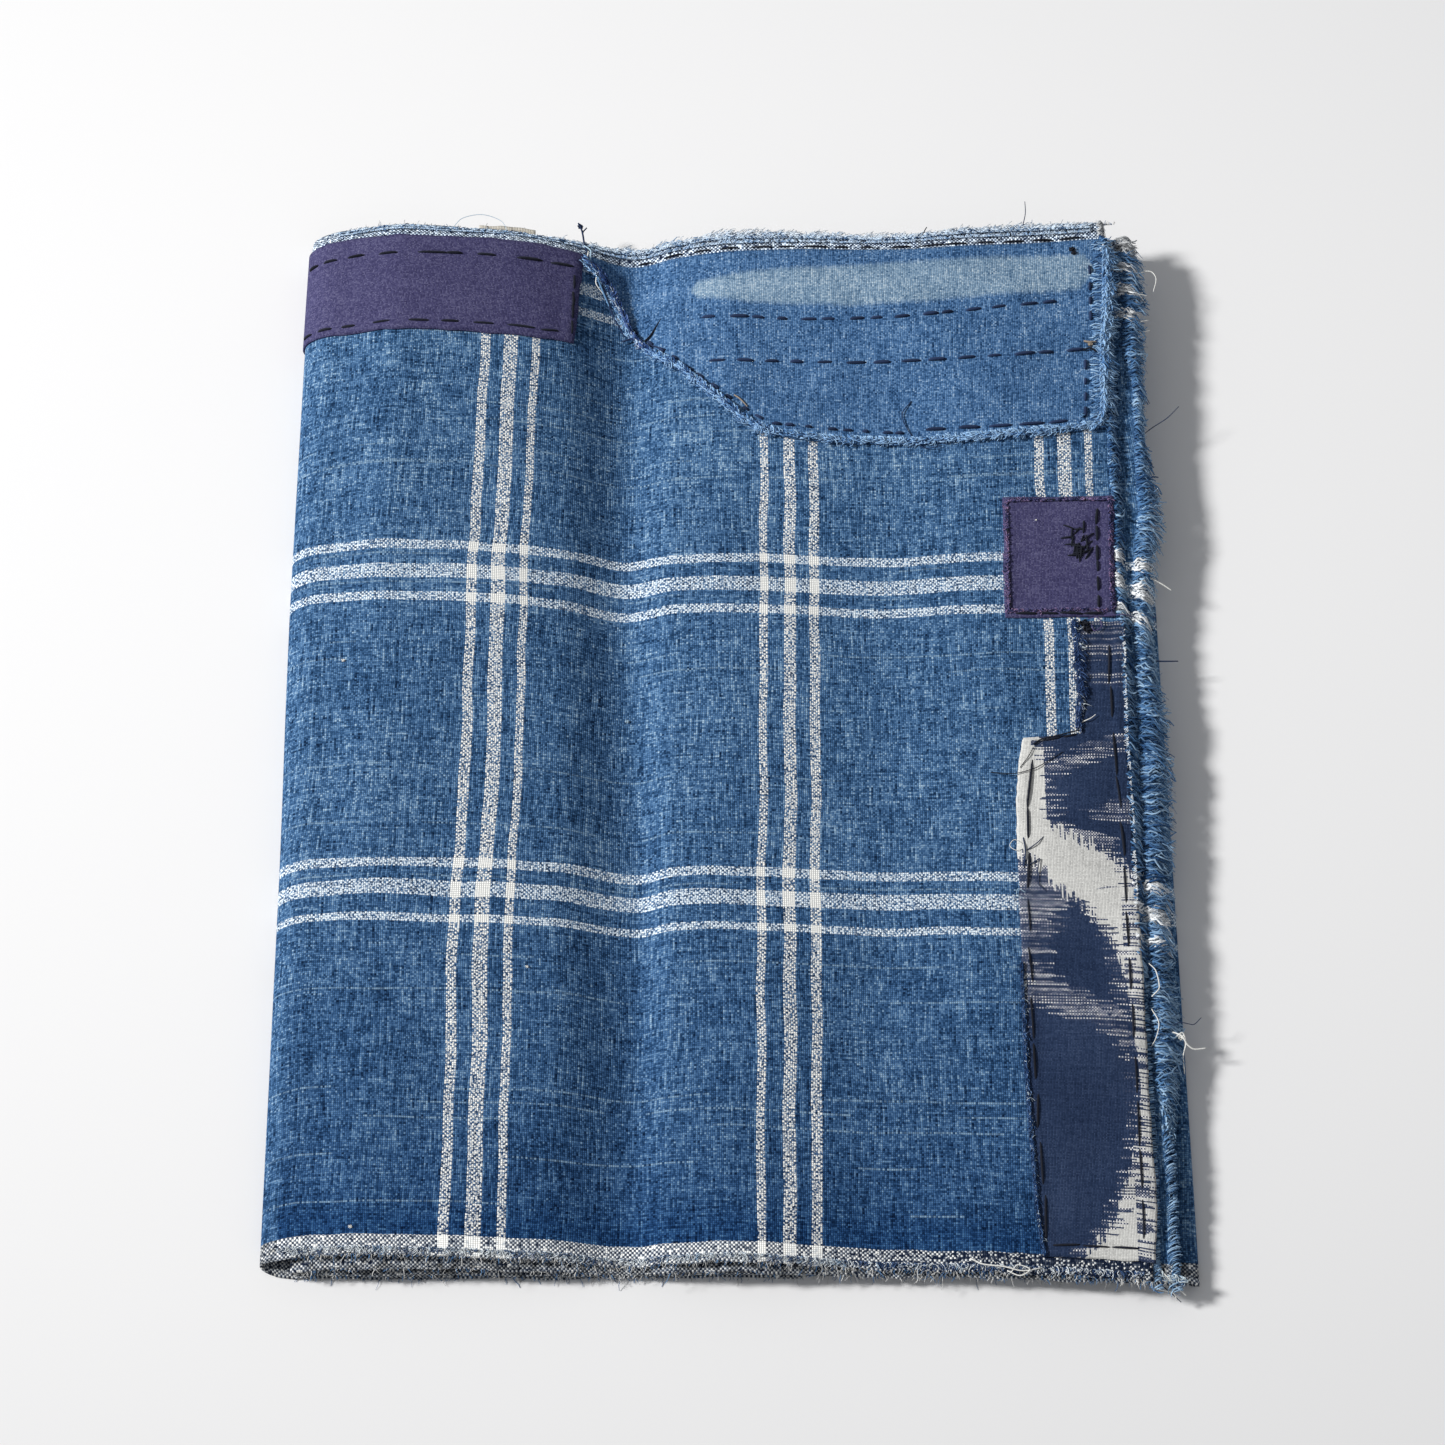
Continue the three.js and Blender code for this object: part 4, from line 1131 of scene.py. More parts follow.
# The small purple square. The same plain weave as the long patch, held by a running stitch on
# all four sides, with a cluster of dark darning near its upper right corner.
def sided_patch(
    name, edges, rows, columns, finish, node, seed, torn_above=LOOM_WIDTH,
):
    """A patch between a left and a right edge that are given at some places across the loom. Its
    left edge is torn above one of these places."""
    edges = np.array(edges, float)
    low, high = edges[0, 0], edges[-1, 0]
    across = np.linspace(low, high, rows)[:, None]
    ragged = np.where(across > torn_above, 1.3, 0.22)
    left = curve_through(edges[:, 0], edges[:, 1], across) + ragged * wobble(across, 2.0, seed)
    right = curve_through(edges[:, 0], edges[:, 2], across) + 0.22 * wobble(across, 2.6, seed + 1)
    x = left + (right - left) * np.linspace(0, 1, columns)
    from_edge = np.minimum(np.minimum(x - left, right - x), np.minimum(across - low, high - across))
    spread = 0.25 * wobble(x, 3, seed + 2) * (1 - 2 * (across - low) / (high - low))
    points = above_top(x, across + spread, PATCH_LIFT + puckers(x, across, from_edge, seed + 3))
    flat = np.stack([x, np.broadcast_to(across, x.shape)], -1)
    patch = add_piece(
        name, points, grid_faces(rows, columns).tolist(), finish, flat=flat, nodes=[node],
    )
    thicken(patch, PATCH_THICKNESS)
    area = np.trapz((right - left)[:, 0], across[:, 0])


SQUARE_EDGES = ((201.4, 83.6, 116.4), (241.8, 84.2, 117.6))
sided_patch(
    "purple_patch_square", SQUARE_EDGES, 60, 50, purple_cotton,
    "patch_purple_square", 91,
)
SQUARE_ROWS = (
    (((86.2, 240.6), (112.3, 240.3)), 7.0, 1.9, 92),
    (((85.4, 239.6), (85.2, 221.8), (85.2, 204)), 5.6, 1.6, 93),
    (((85.6, 202.7), (99.9, 202.6), (113, 202.5)), 6.4, 1.8, 94),
    (((112.2, 238), (111.4, 204)), 4.6, 1.7, 95),
)
sewing(
    "stitches_purple_square", [stitch_paths(*row, STITCH_LIFT) for row in SQUARE_ROWS],
    STITCH_DARK, 0.4,
)
square_route = (
    (84.6, 203.2), (115.4, 203.4), (116.4, 240.4), (98, 240.8), (85, 240.4), (84.8, 221.8), (84.6, 204),
)
tuft_piece(
    "border_purple_square",
    [(square_route, 1000, 1.5, 0.7, PATCH_TOP + 0.1, (0.14, 0.25), 0.4, 96, (0.85, 0.36, 0.46))],
)

darn_dice = np.random.default_rng(97)
DARN_COUNT = 26
darn_t = np.linspace(-1, 1, 7)
darn_x, darn_across = darn_dice.normal(107.0, 1.9, DARN_COUNT), darn_dice.normal(226.5, 2.6, DARN_COUNT)
darn_angle = np.where(darn_dice.random(DARN_COUNT) < 0.5, 0.1, 1.45)
darn_angle = darn_angle + darn_dice.normal(0, 0.25, DARN_COUNT)
darn_half = darn_dice.uniform(1.1, 2.6, DARN_COUNT)
sewing(
    "darning",
    [above_top(
        darn_x[:, None] + (darn_half * np.cos(darn_angle))[:, None] * darn_t,
        darn_across[:, None] + (darn_half * np.sin(darn_angle))[:, None] * darn_t,
        PATCH_TOP + darn_dice.uniform(0.25, 0.55, DARN_COUNT)[:, None] - 0.4 * darn_t**4,
    )],
    STITCH_DARK, 0.27,
)


# The ikat patch. An L-shaped piece of cotton whose yarns were tied and dyed before weaving, so
# navy meets off-white in feathered steps. Long black running stitches hold its edges.
IKAT_EDGES = (
    (4.8, 88.4, 118.6), (20, 86.7, 119.8), (49, 85.2, 119.2), (91, 84.9, 119.0), (128, 84.8, 118.3),
    (161.5, 87.6, 117.8), (163, 103.6, 117.8), (200, 104.2, 119.0),
)
NAVY_SHADES = ((0.0, (0.010, 0.020, 0.052)), (0.5, (0.028, 0.048, 0.108)), (1.0, (0.060, 0.090, 0.175)))
OFF_WHITE_SHADES = ((0.0, (0.46, 0.46, 0.45)), (0.5, (0.74, 0.74, 0.72)), (1.0, (0.90, 0.90, 0.87)))
HALF_TONE = (
    (0.0, (0.03, 0.045, 0.10)),
    (0.4, (0.10, 0.12, 0.19)),
    (0.75, (0.46, 0.47, 0.54)),
    (1.0, (0.98, 0.97, 0.98)),
)

ikat_cotton = Finish("ikat_cotton", roughness=0.95, sheen=0.0, gloss=0.05)
f = ikat_cotton
along, across = f.flat_place()
IKAT_PITCH = 0.42
weft, warp, warp_over, crown = crossing(f, along, across, IKAT_PITCH, 0.5, 23.0)
# Where the yarns across the loom are navy: below one line at the top of each dyed length, above
# another, as curves over X.
upright = across + (f.chance(weft, 3.0) - 0.5) * 5.5
lower_top = f.curve(
    along, 80, 124, 0, 210,
    (
        (80, 126), (90, 122), (94, 117), (99, 112), (104, 108), (108, 103), (112, 96), (114.5, 84),
        (116.5, 62), (118, 20),
    ),
)
lower_foot = f.curve(
    along, 80, 124, 0, 210,
    (
        (80, 0), (98, 3), (102, 8), (105.6, 12), (108.4, 18), (110.6, 24), (113, 31), (115.2, 40),
        (117, 54), (118, 66),
    ),
)
upper_foot = f.curve(
    along, 80, 124, 0, 210,
    (
        (80, 210), (93.0, 210), (93.6, 136), (98.5, 131.5), (103, 129), (107.5, 128), (112, 125),
        (115.5, 122), (118, 118), (124, 118),
    ),
)
upright_navy = upright.under(lower_top) * upright.over(lower_foot) + upright.over(upper_foot)
# Where the yarns along the strip are navy: between a left and a right end, less a slanting gap.
level = along + (f.chance(warp, 5.0) - 0.5) * 9.0
left_end = f.curve(
    across, 0, 205, 80, 125,
    (
        (0, 80), (60, 80), (79, 85), (88, 89), (97, 91.6), (105, 95.5), (110, 99), (113, 104),
        (116, 117), (119, 117), (125, 112), (131, 110), (134, 97.4), (139, 95.7), (147.6, 95.8),
        (149.6, 93.6), (163, 93.7), (164, 100), (205, 100),
    ),
)
right_end = f.curve(
    across, 0, 205, 80, 125,
    (
        (0, 95), (5, 97.5), (9, 101.5), (12, 105), (15.5, 107.6), (21, 110), (34, 114.6), (45, 116.4),
        (60, 115.4), (79, 113.8), (88, 112.5), (97, 111.5), (105, 107), (110, 103.5), (113, 100),
        (116, 124), (134, 124), (137, 104), (140, 109), (144, 121), (178, 122), (181, 99), (200, 99),
        (205, 99),
    ),
)
gap_middle = f.curve(
    across, 0, 205, 60, 140,
    (
        (0, 125), (62, 125), (67, 119), (72, 112), (83, 90.5), (88, 80), (91, 60), (140, 60),
        (148, 88), (163, 120), (166, 140), (205, 140),
    ),
)
gap_half = f.curve(
    across, 0, 205, 0, 14,
    (
        (0, 0), (61, 0), (64, 5), (72, 6.6), (83, 12), (92, 12), (95, 0), (145, 0), (148, 4.5),
        (162, 5), (166, 0), (205, 0),
    ),
)
in_gap = (level - gap_middle).sum("ABSOLUTE").under(gap_half)
level_navy = level.over(left_end) * level.under(right_end) * (in_gap * -1.0 + 1.0)
ticks = f.chance(warp, 11.0).over(0.5) * along.over(114.0) * across.under(112.0)
lines = f.chance(warp, 17.0).under(0.5) * across.over(178.0)
level_navy = (level_navy + ticks * level.under(121.0) + lines).limited()
upright_navy = upright_navy.limited()
navy_here = upright_navy.between(level_navy, warp_over)
mixed = (upright_navy - level_navy).sum("ABSOLUTE")
tone = thread_tone(f, weft, across / 12, warp, along / 12, warp_over)
tone = tone * 0.55 + 0.5 + f.mottle(along / 20, across / 20, 12.0) * 0.3
tone = tone + (f.chance(weft, warp) - 0.5) * 0.4
streak = f.chance(warp, 41.0) * 0.95 + f.mottle(along / 2.2, warp * 2.9, 43.0) * 0.7 + 0.02
white = f.blend(mixed, f.shades(tone.limited(), OFF_WHITE_SHADES), f.shades(streak.limited(), HALF_TONE))
colour = f.blend(navy_here, white, f.shades(tone.limited(), NAVY_SHADES))
# Painted shade between the threads: the colour is darker where the thread's crown is low.
f.paint(f.shaded(colour, crown * 0.35 + 0.74), crown, depth=0.1)

sided_patch(
    "ikat_patch", IKAT_EDGES, 260, 44, ikat_cotton, "patch_ikat", 101,
    torn_above=163.5,
)
# Rows of stitches as on the other patches, and last how uneven each is.
IKAT_ROWS = (
    (
        ((90.2, 156), (88.3, 141.1), (87.4, 109.5), (87.2, 78.8), (87.8, 48.9), (89.2, 10)),
        13.0, 2.6, 102, 0.12,
    ),
    (
        (
            (113.6, 194), (113.9, 173.4), (114.0, 160.4), (115.2, 131.8), (115.4, 94.5), (116, 20.3),
            (115.6, 10),
        ),
        12.0, 2.8, 103, 0.12,
    ),
    (((89.5, 8.2), (114.6, 8.4)), 8.4, 1.3, 104, 0.1),
    (((93, 160.6), (104, 163)), 4.5, 1.2, 105, 0.1),
)
sewing(
    "stitches_ikat",
    [stitch_paths(*row, STITCH_LIFT, uneven) for *row, uneven in IKAT_ROWS],
    STITCH_DARK, 0.33,
)

left_edge = ((88.4, 5.5), (86.9, 20.0), (86.0, 40.0), (85.3, 60.0), (85.0, 90.0))
inner_edge = ((103.8, 164.5), (104.2, 170.0), (105.2, 178.0), (104.6, 190.0), (103.9, 199.0))
right_side = ((118.4, 198.0), (117.8, 162.0), (118.4, 136.0), (118.2, 110.0))
tuft_piece(
    "tufts_ikat",
    [
        (left_edge, 1500, 1.3, 0.9, 1.2, (0.12, 0.22), 0.2, 106, (0.5, 0.5, 0.6)),
        (left_edge, 130, 1.5, 0.7, 1.3, (0.08, 0.15), 1.2, 108, (1.5, 1.2, 1.0)),
        (inner_edge, 800, 3.0, 1.2, 1.3, (0.12, 0.22), 0.0, 107, (0.6, 0.5, 0.6)),
        (inner_edge, 90, 3.6, 0.7, 1.5, (0.08, 0.14), 1.3, 109, (2.0, 1.5, 1.2)),
        (right_side, 170, 1.2, 0.4, 1.2, (0.10, 0.17), 1.3, 110, (2.4, 1.7, 1.3)),
    ],
)


# The off-white scrap. A small plain piece that lies on the second layer and peeks out behind
# the far selvedge.
OFF_WHITE_PLAIN = ((0.0, (0.42, 0.39, 0.33)), (0.5, (0.68, 0.64, 0.56)), (1.0, (0.84, 0.80, 0.72)))
SCRAP_PITCH = 0.5
SCRAP_X = (-76.0, -58.5)
SCRAP_NEAR_EDGE = 324.0
off_white_cotton = Finish("off_white_cotton", roughness=0.95, sheen=0.0, gloss=0.05)
f = off_white_cotton
along, across = f.flat_place()
weft, warp, warp_over, crown = crossing(f, along, across, SCRAP_PITCH, 0.5, 29.0)
tone = thread_tone(f, weft, across / 5, warp, along / 5, warp_over)
# Painted shade between the threads: the colour is darker where the thread's crown is low.
f.paint(f.shaded(f.shades((tone * 0.6 + 0.5).limited(), OFF_WHITE_PLAIN), crown * 0.4 + 0.7), crown)

scrap_x = np.linspace(*SCRAP_X, 24)[None, :]
scrap_share = np.linspace(0, 1, 14)[:, None]
scrap_across = SCRAP_NEAR_EDGE + (LOOM_WIDTH - SCRAP_NEAR_EDGE) * scrap_share + 0 * scrap_x
scrap_z = layer_z("second", scrap_x + 0 * scrap_share, scrap_across) + PATCH_LIFT + 0.2
scrap_z = scrap_z + 3.2 * np.clip((scrap_share - 0.55) / 0.45, 0, 1) ** 2
scrap_slip = slip_of("second", scrap_x, scrap_across)
scrap_y = weave_y(scrap_x, scrap_across, scrap_slip) + 5.6 * scrap_share**3
scrap_y = scrap_y + 0.4 * wobble(scrap_x, 3, 111) * scrap_share
scrap_points = np.stack([scrap_x + 0 * scrap_share, scrap_y, scrap_z], -1)
scrap = add_piece(
    "off_white_scrap", scrap_points, grid_faces(14, 24).tolist(), off_white_cotton,
    flat=np.stack([scrap_x + 0 * scrap_share, scrap_across], -1),
    nodes=["patch_scrap"],
)
thicken(scrap, PATCH_THICKNESS)


# The selvedge fuzz. Short fibres stand out of both selvedges of every layer, grey, white and
# blue like the edge warps.
def selvedge_fuzz(name, edge, count, seed, near_white):
    """Short fibres that leave a selvedge outwards and bend at random."""
    dice = np.random.default_rng(seed)
    outwards = -1.0 if edge == 0 else 1.0
    layers = dice.choice(["top", "second", "third", "lowest"], count, p=[0.5, 0.2, 0.15, 0.15])
    x = dice.uniform(-118, 122, count)
    t = np.linspace(0, 1, 4)
    across = np.full(count, edge)
    z, slip = np.zeros(count), np.zeros(count)
    for layer in SHARE:
        mine = layers == layer
        z[mine] = layer_z(layer, x[mine], across[mine])
        slip[mine] = slip_of(layer, x[mine], across[mine])
    reach = dice.gamma(2.2, 0.42, count)
    aside = dice.normal(0, 0.8, count)
    run = reach[:, None] * t
    px = x[:, None] + aside[:, None] * t + 0.25 * np.sin(7 * t + aside[:, None] * 9) * t
    py = weave_y(x, across, slip)[:, None] - outwards * 0.5 + outwards * run
    pz = z[:, None] + dice.normal(0, 0.35, count)[:, None] * t - 0.25 * run * t
    paths = np.stack([px, py, np.maximum(pz, 0.15)], -1)
    white = dice.random(count) < near_white
    dye = np.where(
        white[:, None, None],
        np.array((0.70, 0.70, 0.69)) * dice.uniform(0.5, 1.2, count)[:, None, None],
        blue_yarn(dice.uniform(0.0, 0.55, count))[:, None],
    )
    radii = dice.uniform(0.06, 0.16, count)[:, None] * (1 - 0.4 * t)
    yarn_piece(name, paths, radii, dye * np.ones((1, 4, 1)))


selvedge_fuzz("fuzz_near_selvedge", 0.0, 2600, 121, 0.55)
selvedge_fuzz("fuzz_far_selvedge", LOOM_WIDTH, 2300, 122, 0.6)
far_route = np.array([(114.0, 335.6), (60.0, 335.8), (0.0, 335.6), (-60.0, 335.8), (-120.0, 335.6)])
far_inner = far_route - (0.0, 1.6)
far_outer = np.array([(114.0, 336.5), (30.0, 336.7), (-54.0, 336.5)])
near_route = np.array([(-122.0, 1.6), (-60.0, 1.2), (0.0, 1.4), (34.0, 1.2)])
navy_route = np.array([(18.0, 1.4), (60.0, 1.2), (116.0, 1.4)])
end_route = np.array([(117.0, 5.0), (121.0, 1.6), (126.5, 1.2)])
tuft_piece("tufts_selvedges", [
    (far_route, 1500, 1.9, 0.8, 0.7, (0.12, 0.24), 1.0, 131, (1.7, 1.35, 1.15)),
    (far_route, 420, 1.7, 0.8, 0.8, (0.12, 0.24), 0.05, 132, (1.2, 0.9, 0.8)),
    (far_outer, 1100, 2.3, 1.5, 0.2, (0.1, 0.2), 1.0, 140, (2.0, 1.48, 1.2)),
    (far_inner, 1300, 2.4, 0.7, 0.6, (0.11, 0.22), 0.95, 133, (1.6, 1.3, 1.15)),
    (near_route, 1000, 2.0, 0.7, 0.3, (0.09, 0.18), 1.0, 134, (2.0, 1.42, 1.08)),
    (navy_route, 240, 2.0, 0.7, 0.4, (0.09, 0.17), 1.1, 137, (2.1, 1.5, 1.15)),
    (navy_route, 520, 1.8, 0.6, 0.3, (0.10, 0.2), 0.05, 138, (0.8, 0.65, 0.7)),
    (near_route, 420, 2.0, 0.7, 0.3, (0.10, 0.2), 0.1, 135, (1.2, 0.8, 0.7)),
    (end_route, 150, 1.9, 1.1, -1.8, (0.14, 0.26), 0.35, 136, (0.9, 0.85, 0.85)),
    (end_route, 70, 2.3, 1.2, -1.4, (0.10, 0.18), 1.1, 139, (2.0, 1.5, 1.15)),
])


# The loose threads. Ends of sewing thread, knots and pulled yarns that stand out of the seams,
# the selvedges and the cut ends, each a smooth thin tube through a few places.
def thread_path(route, steps):
    """A smooth path through places (x, across, lift off the top layer's mid-surface)."""
    route = np.array(route, float)
    ends = lengths_along(route)
    at = np.linspace(0, ends[-1], steps)
    x, across, lift = (curve_through(ends, route[:, i], at) for i in range(3))
    y = weave_y(x, across)
    return np.stack([x, y, top_z(x, np.clip(across, 0, LOOM_WIDTH)) + lift], -1)


def knot_path(x, across, size, lift, seed, steps):
    """A small knot: three uneven loops round one place."""
    dice = np.random.default_rng(seed)
    t = np.linspace(0, 1, steps)
    angle = dice.uniform(0, 6.3) + 3 * 2 * np.pi * t
    wide = size * (0.55 + 0.45 * np.sin(2.3 * angle + dice.uniform(0, 6.3)))
    px, pa = x + wide * np.cos(angle), across + wide * np.sin(angle) * 0.8
    pz = top_z(px, np.clip(pa, 0, LOOM_WIDTH)) + lift + 0.5 * size * np.sin(1.7 * angle)
    return np.stack([px, weave_y(px, pa), pz], -1)


THREAD_STEPS = 28
BLACK_YARN = (0.012, 0.014, 0.022)
NAVY_YARN = (0.02, 0.035, 0.085)
BLUE_YARN = (0.12, 0.25, 0.44)
PALE_YARN = (0.36, 0.50, 0.62)
WHITE_YARN = (0.78, 0.78, 0.75)
BEIGE_YARN = (0.30, 0.25, 0.20)
PURPLE_YARN = (0.10, 0.08, 0.20)
# Each thread's colour and radius, and its places: x, across, lift.
LOOSE_THREADS = (
    (NAVY_YARN, 0.16, (
        (57.5, 276, 1.4), (54.6, 271.5, 1.8), (57, 265, 1.6), (62, 259.8, 1.5), (66.5, 260.5, 1.3),
    )),
    (NAVY_YARN, 0.15, (
        (127, 264.8, -6.2), (131, 267.4, -5.5), (135.5, 270, -5.2), (139.4, 273.6, -5),
    )),
    (NAVY_YARN, 0.26, ((126, 190.2, -4.4), (130, 189.4, -4), (134.8, 189.6, -4.4))),
    (WHITE_YARN, 0.28, (
        (126.5, 73.6, -2.2), (129.6, 72, -1.4), (131, 70, -2.2), (133, 69, -3), (136.4, 69.6, -3.4),
    )),
    (WHITE_YARN, 0.2, (
        (127.4, 71.4, -1.8), (129.6, 73, -1.2), (130.6, 70.4, -2), (129.8, 66.6, -3.2), (130, 62, -4),
    )),
    (NAVY_YARN, 0.14, (
        (126.5, 74.6, -1.6), (129.4, 76, -1.4), (132.6, 75.8, -2), (135.4, 78.2, -2.6),
    )),
    (NAVY_YARN, 0.15, ((92.6, 334.5, 0.7), (93.6, 338, 1.4), (94.2, 341, 3), (94, 343.6, 4.6))),
    (BLACK_YARN, 0.2, ((62.2, 334.5, 0.8), (62.8, 337.5, 1.2), (63.6, 339, 1.4))),
    (PALE_YARN, 0.1, (
        (-85, 335, 0.6), (-81, 340, 1.6), (-75, 341.6, 1.8), (-69, 340, 1.4), (-66.4, 335, 0.7),
    )),
    (NAVY_YARN, 0.3, (
        (-45.2, 343, 2.6), (-44, 340.4, 2.4), (-43.2, 336, 1.4), (-42.2, 331, 1.6), (-40.8, 326.6, 1.8),
    )),
    (NAVY_YARN, 0.22, (
        (-42.6, 342, 2.4), (-43.8, 339.8, 2.2), (-42.6, 334, 1.3), (-41.4, 328, 1.9), (-38.6, 322, 1.5),
    )),
    (PALE_YARN, 0.24, (
        (-43.2, 334.6, 1.5), (-41, 331.2, 2.6), (-41.4, 327, 2.2), (-38.4, 323.4, 2.4),
        (-37.6, 318.8, 1.6),
    )),
    (WHITE_YARN, 0.2, (
        (-41.8, 331.6, 1.9), (-42.2, 327.6, 2.5), (-38.8, 325.4, 2.3), (-39.4, 321, 2.2),
        (-36, 316.6, 1.4),
    )),
    (BLUE_YARN, 0.3, (
        (-41.6, 329, 1.7), (-39, 322.6, 2.3), (-35.6, 314.6, 1.8), (-32.6, 308.2, 1.4),
    )),
    (NAVY_YARN, 0.28, (
        (-40.4, 327.6, 1.9), (-37.2, 320.2, 2.1), (-34.4, 311.6, 1.7), (-30.4, 303.8, 1.4),
    )),
    (BLACK_YARN, 0.3, ((-26.6, 300, 1.5), (-22.6, 303, 1.8), (-20.4, 306.6, 1.5), (-19, 309, 1.3))),
    (NAVY_YARN, 0.3, ((-31, 302, 1.4), (-27, 303.4, 1.8), (-23.6, 300.6, 1.8), (-17.6, 297, 1.4))),
    (BEIGE_YARN, 0.26, ((3.6, 277.9, 1.5), (5.4, 276.2, 1.9), (7.6, 273.8, 1.5))),
    (BEIGE_YARN, 0.34, ((110.6, 294.2, 1.5), (112.4, 293.6, 1.9), (114.4, 293.8, 1.5))),
    (BLACK_YARN, 0.3, ((110.4, 291.2, 1.5), (112.4, 291.6, 1.8), (114.2, 290.4, 1.5))),
    (PURPLE_YARN, 0.14, (
        (108, 200.4, 1.7), (110.6, 200.6, 2.4), (112, 198, 2.2), (109.8, 196.4, 1.9), (109, 198.6, 1.7),
    )),
    (PURPLE_YARN, 0.14, (
        (113, 201.6, 1.6), (118, 201.8, 1.6), (124, 202.8, -2.6), (129, 204, -4.4),
    )),
    (WHITE_YARN, 0.17, ((104.6, 166.6, 1.5), (107.2, 167.6, 2), (109, 169, 2))),
    (BLACK_YARN, 0.14, (
        (78, 150.8, 0.6), (84, 150, 1.4), (90, 151.4, 1.7), (94.6, 154, 1.5), (99, 157, 1.4),
    )),
    (BLACK_YARN, 0.12, ((86.4, 152, 1.3), (89, 155.6, 1.6), (90.6, 158.6, 1.4))),
    (BLACK_YARN, 0.26, (
        (90.6, 159.4, 1.5), (92.6, 160.8, 1.6), (98, 162.2, 1.8), (105.2, 164.4, 1.6),
    )),
    (WHITE_YARN, 0.11, (
        (86.4, 127.6, 1.2), (84, 128.8, 1.6), (82.6, 127, 1.4), (84.6, 125.4, 1.5), (86.4, 126.2, 1.2),
    )),
    (NAVY_YARN, 0.2, ((86.6, 129.6, 1.3), (87, 125, 1.7), (86.4, 120, 1.4))),
    (NAVY_YARN, 0.17, ((87.4, 125.6, 1.3), (90.2, 127.6, 1.7), (92.4, 130, 1.3))),
    (NAVY_YARN, 0.16, ((88, 121, 1.3), (91, 123, 1.6), (90, 116, 1.6), (92.6, 113, 1.3))),
    (PALE_YARN, 0.11, (
        (86.6, 112.4, 1.3), (84.6, 113.4, 1.6), (84, 111.8, 1.5), (86.2, 110.4, 1.3),
    )),
    (WHITE_YARN, 0.2, (
        (121.4, 82.6, -0.4), (123.6, 85.4, 0.2), (122.8, 90, 0.4), (121, 92.4, -0.2),
    )),
    (WHITE_YARN, 0.16, ((121.2, 79, -0.4), (123, 74.6, 0.2), (122, 70.4, 0), (120.6, 68, -0.4))),
    (WHITE_YARN, 0.22, (
        (68, 3.4, 0.7), (72, 1.6, 1.1), (77, 1.2, 1.2), (82, 0.2, 1.3), (87.4, 1.4, 1),
    )),
    (WHITE_YARN, 0.19, (
        (78, 0.2, 0.8), (81.4, -1.2, 1.2), (84.2, 0.6, 1.5), (81, 1.8, 1.4), (79, -0.4, 1.1),
    )),
    (WHITE_YARN, 0.25, (
        (118.6, 5, -0.6), (121.4, 2.2, -0.8), (124.8, -0.8, -1.8), (127.2, -2.2, -3.6),
    )),
    (WHITE_YARN, 0.2, (
        (117.6, 1, -0.8), (119.4, -1.6, -1.4), (123.6, -2.2, -2.4), (124.6, -3.6, -4),
    )),
    (NAVY_YARN, 0.16, ((120, 0.2, -2.4), (123.6, -2.2, -3.6), (125.8, -3.6, -5))),
    (WHITE_YARN, 0.17, (
        (130.6, 321.6, -5), (133.4, 320.6, -4.6), (134.6, 318, -4.8), (133.6, 314, -5.6),
    )),
    (WHITE_YARN, 0.2, (
        (123.6, 319.6, -4.6), (126, 321, -3.8), (128, 319.6, -3.8), (130.6, 320.6, -4.4),
    )),
    (WHITE_YARN, 0.2, (
        (123.4, 311.4, -4.6), (126, 310.4, -3.8), (128.6, 312.4, -3.8), (131.4, 312.0, -4.4),
    )),
    (WHITE_YARN, 0.18, (
        (124.4, 302.4, -4.6), (126.6, 300.8, -3.8), (128.6, 302.6, -3.6), (131.4, 303.6, -4.4),
    )),
    (WHITE_YARN, 0.17, (
        (124.8, 299.4, -4.6), (127.4, 300.4, -3.6), (129.6, 299.4, -3.8), (131.8, 300.2, -4.6),
    )),
    (WHITE_YARN, 0.3, ((129.4, 229.4, -6), (128.7, 222, -6), (127.8, 216.4, -6))),
    (WHITE_YARN, 0.26, (
        (123.6, 214, -3.6), (127, 215.8, -3), (130.6, 214.4, -3.4), (134, 212.4, -4.2),
    )),
)
KNOTS = (
    # colour, radius, x, across, size, lift
    (BLACK_YARN, 0.26, 108.2, 327.0, 0.9, 1.6), (BLACK_YARN, 0.24, 108.8, 325.6, 0.8, 1.6),
    (BLACK_YARN, 0.34, 106.9, 198.9, 1.7, 1.2), (BLACK_YARN, 0.34, 107.8, 197.0, 1.5, 1.1),
    (NAVY_YARN, 0.26, -44.6, 342.2, 0.9, 2.2), (NAVY_YARN, 0.24, -36.8, 320.6, 0.9, 1.7),
    (NAVY_YARN, 0.24, -27.0, 302.4, 0.8, 1.6), (BEIGE_YARN, 0.22, 112.6, 293.0, 0.8, 1.6),
    (BLUE_YARN, 0.22, 109.0, 268.6, 0.9, 1.5), (WHITE_YARN, 0.1, -111.7, 183.6, 0.6, 0.6),
    (WHITE_YARN, 0.09, -55.4, 86.3, 0.5, 0.6), (PALE_YARN, 0.13, -28.1, 169.4, 0.7, 0.6),
    (WHITE_YARN, 0.1, -102.3, 7.6, 0.6, 0.6), (WHITE_YARN, 0.09, 93.9, 233.8, 0.35, 1.3),
    (WHITE_YARN, 0.24, 129.4, 72.0, 1.0, -2.0), (BLACK_YARN, 0.2, 20.0, -0.6, 0.7, 0.9),
)
loose_paths = [thread_path(route, THREAD_STEPS) for _, _, route in LOOSE_THREADS]
loose_paths += [
    knot_path(*place, seed, THREAD_STEPS) for seed, (_, _, *place) in enumerate(KNOTS, 131)
]
loose_looks = [item[:2] for item in LOOSE_THREADS + KNOTS]
loose_t = np.linspace(0, 1, THREAD_STEPS)
loose_radii = np.array([radius for _, radius in loose_looks])[:, None] * (1 - 0.3 * loose_t**3)
loose_dye = np.array([colour for colour, _ in loose_looks])[:, None]
loose_dye = loose_dye * np.ones((1, THREAD_STEPS, 1))
yarn_piece("loose_threads", np.array(loose_paths), loose_radii, loose_dye, sides=5)


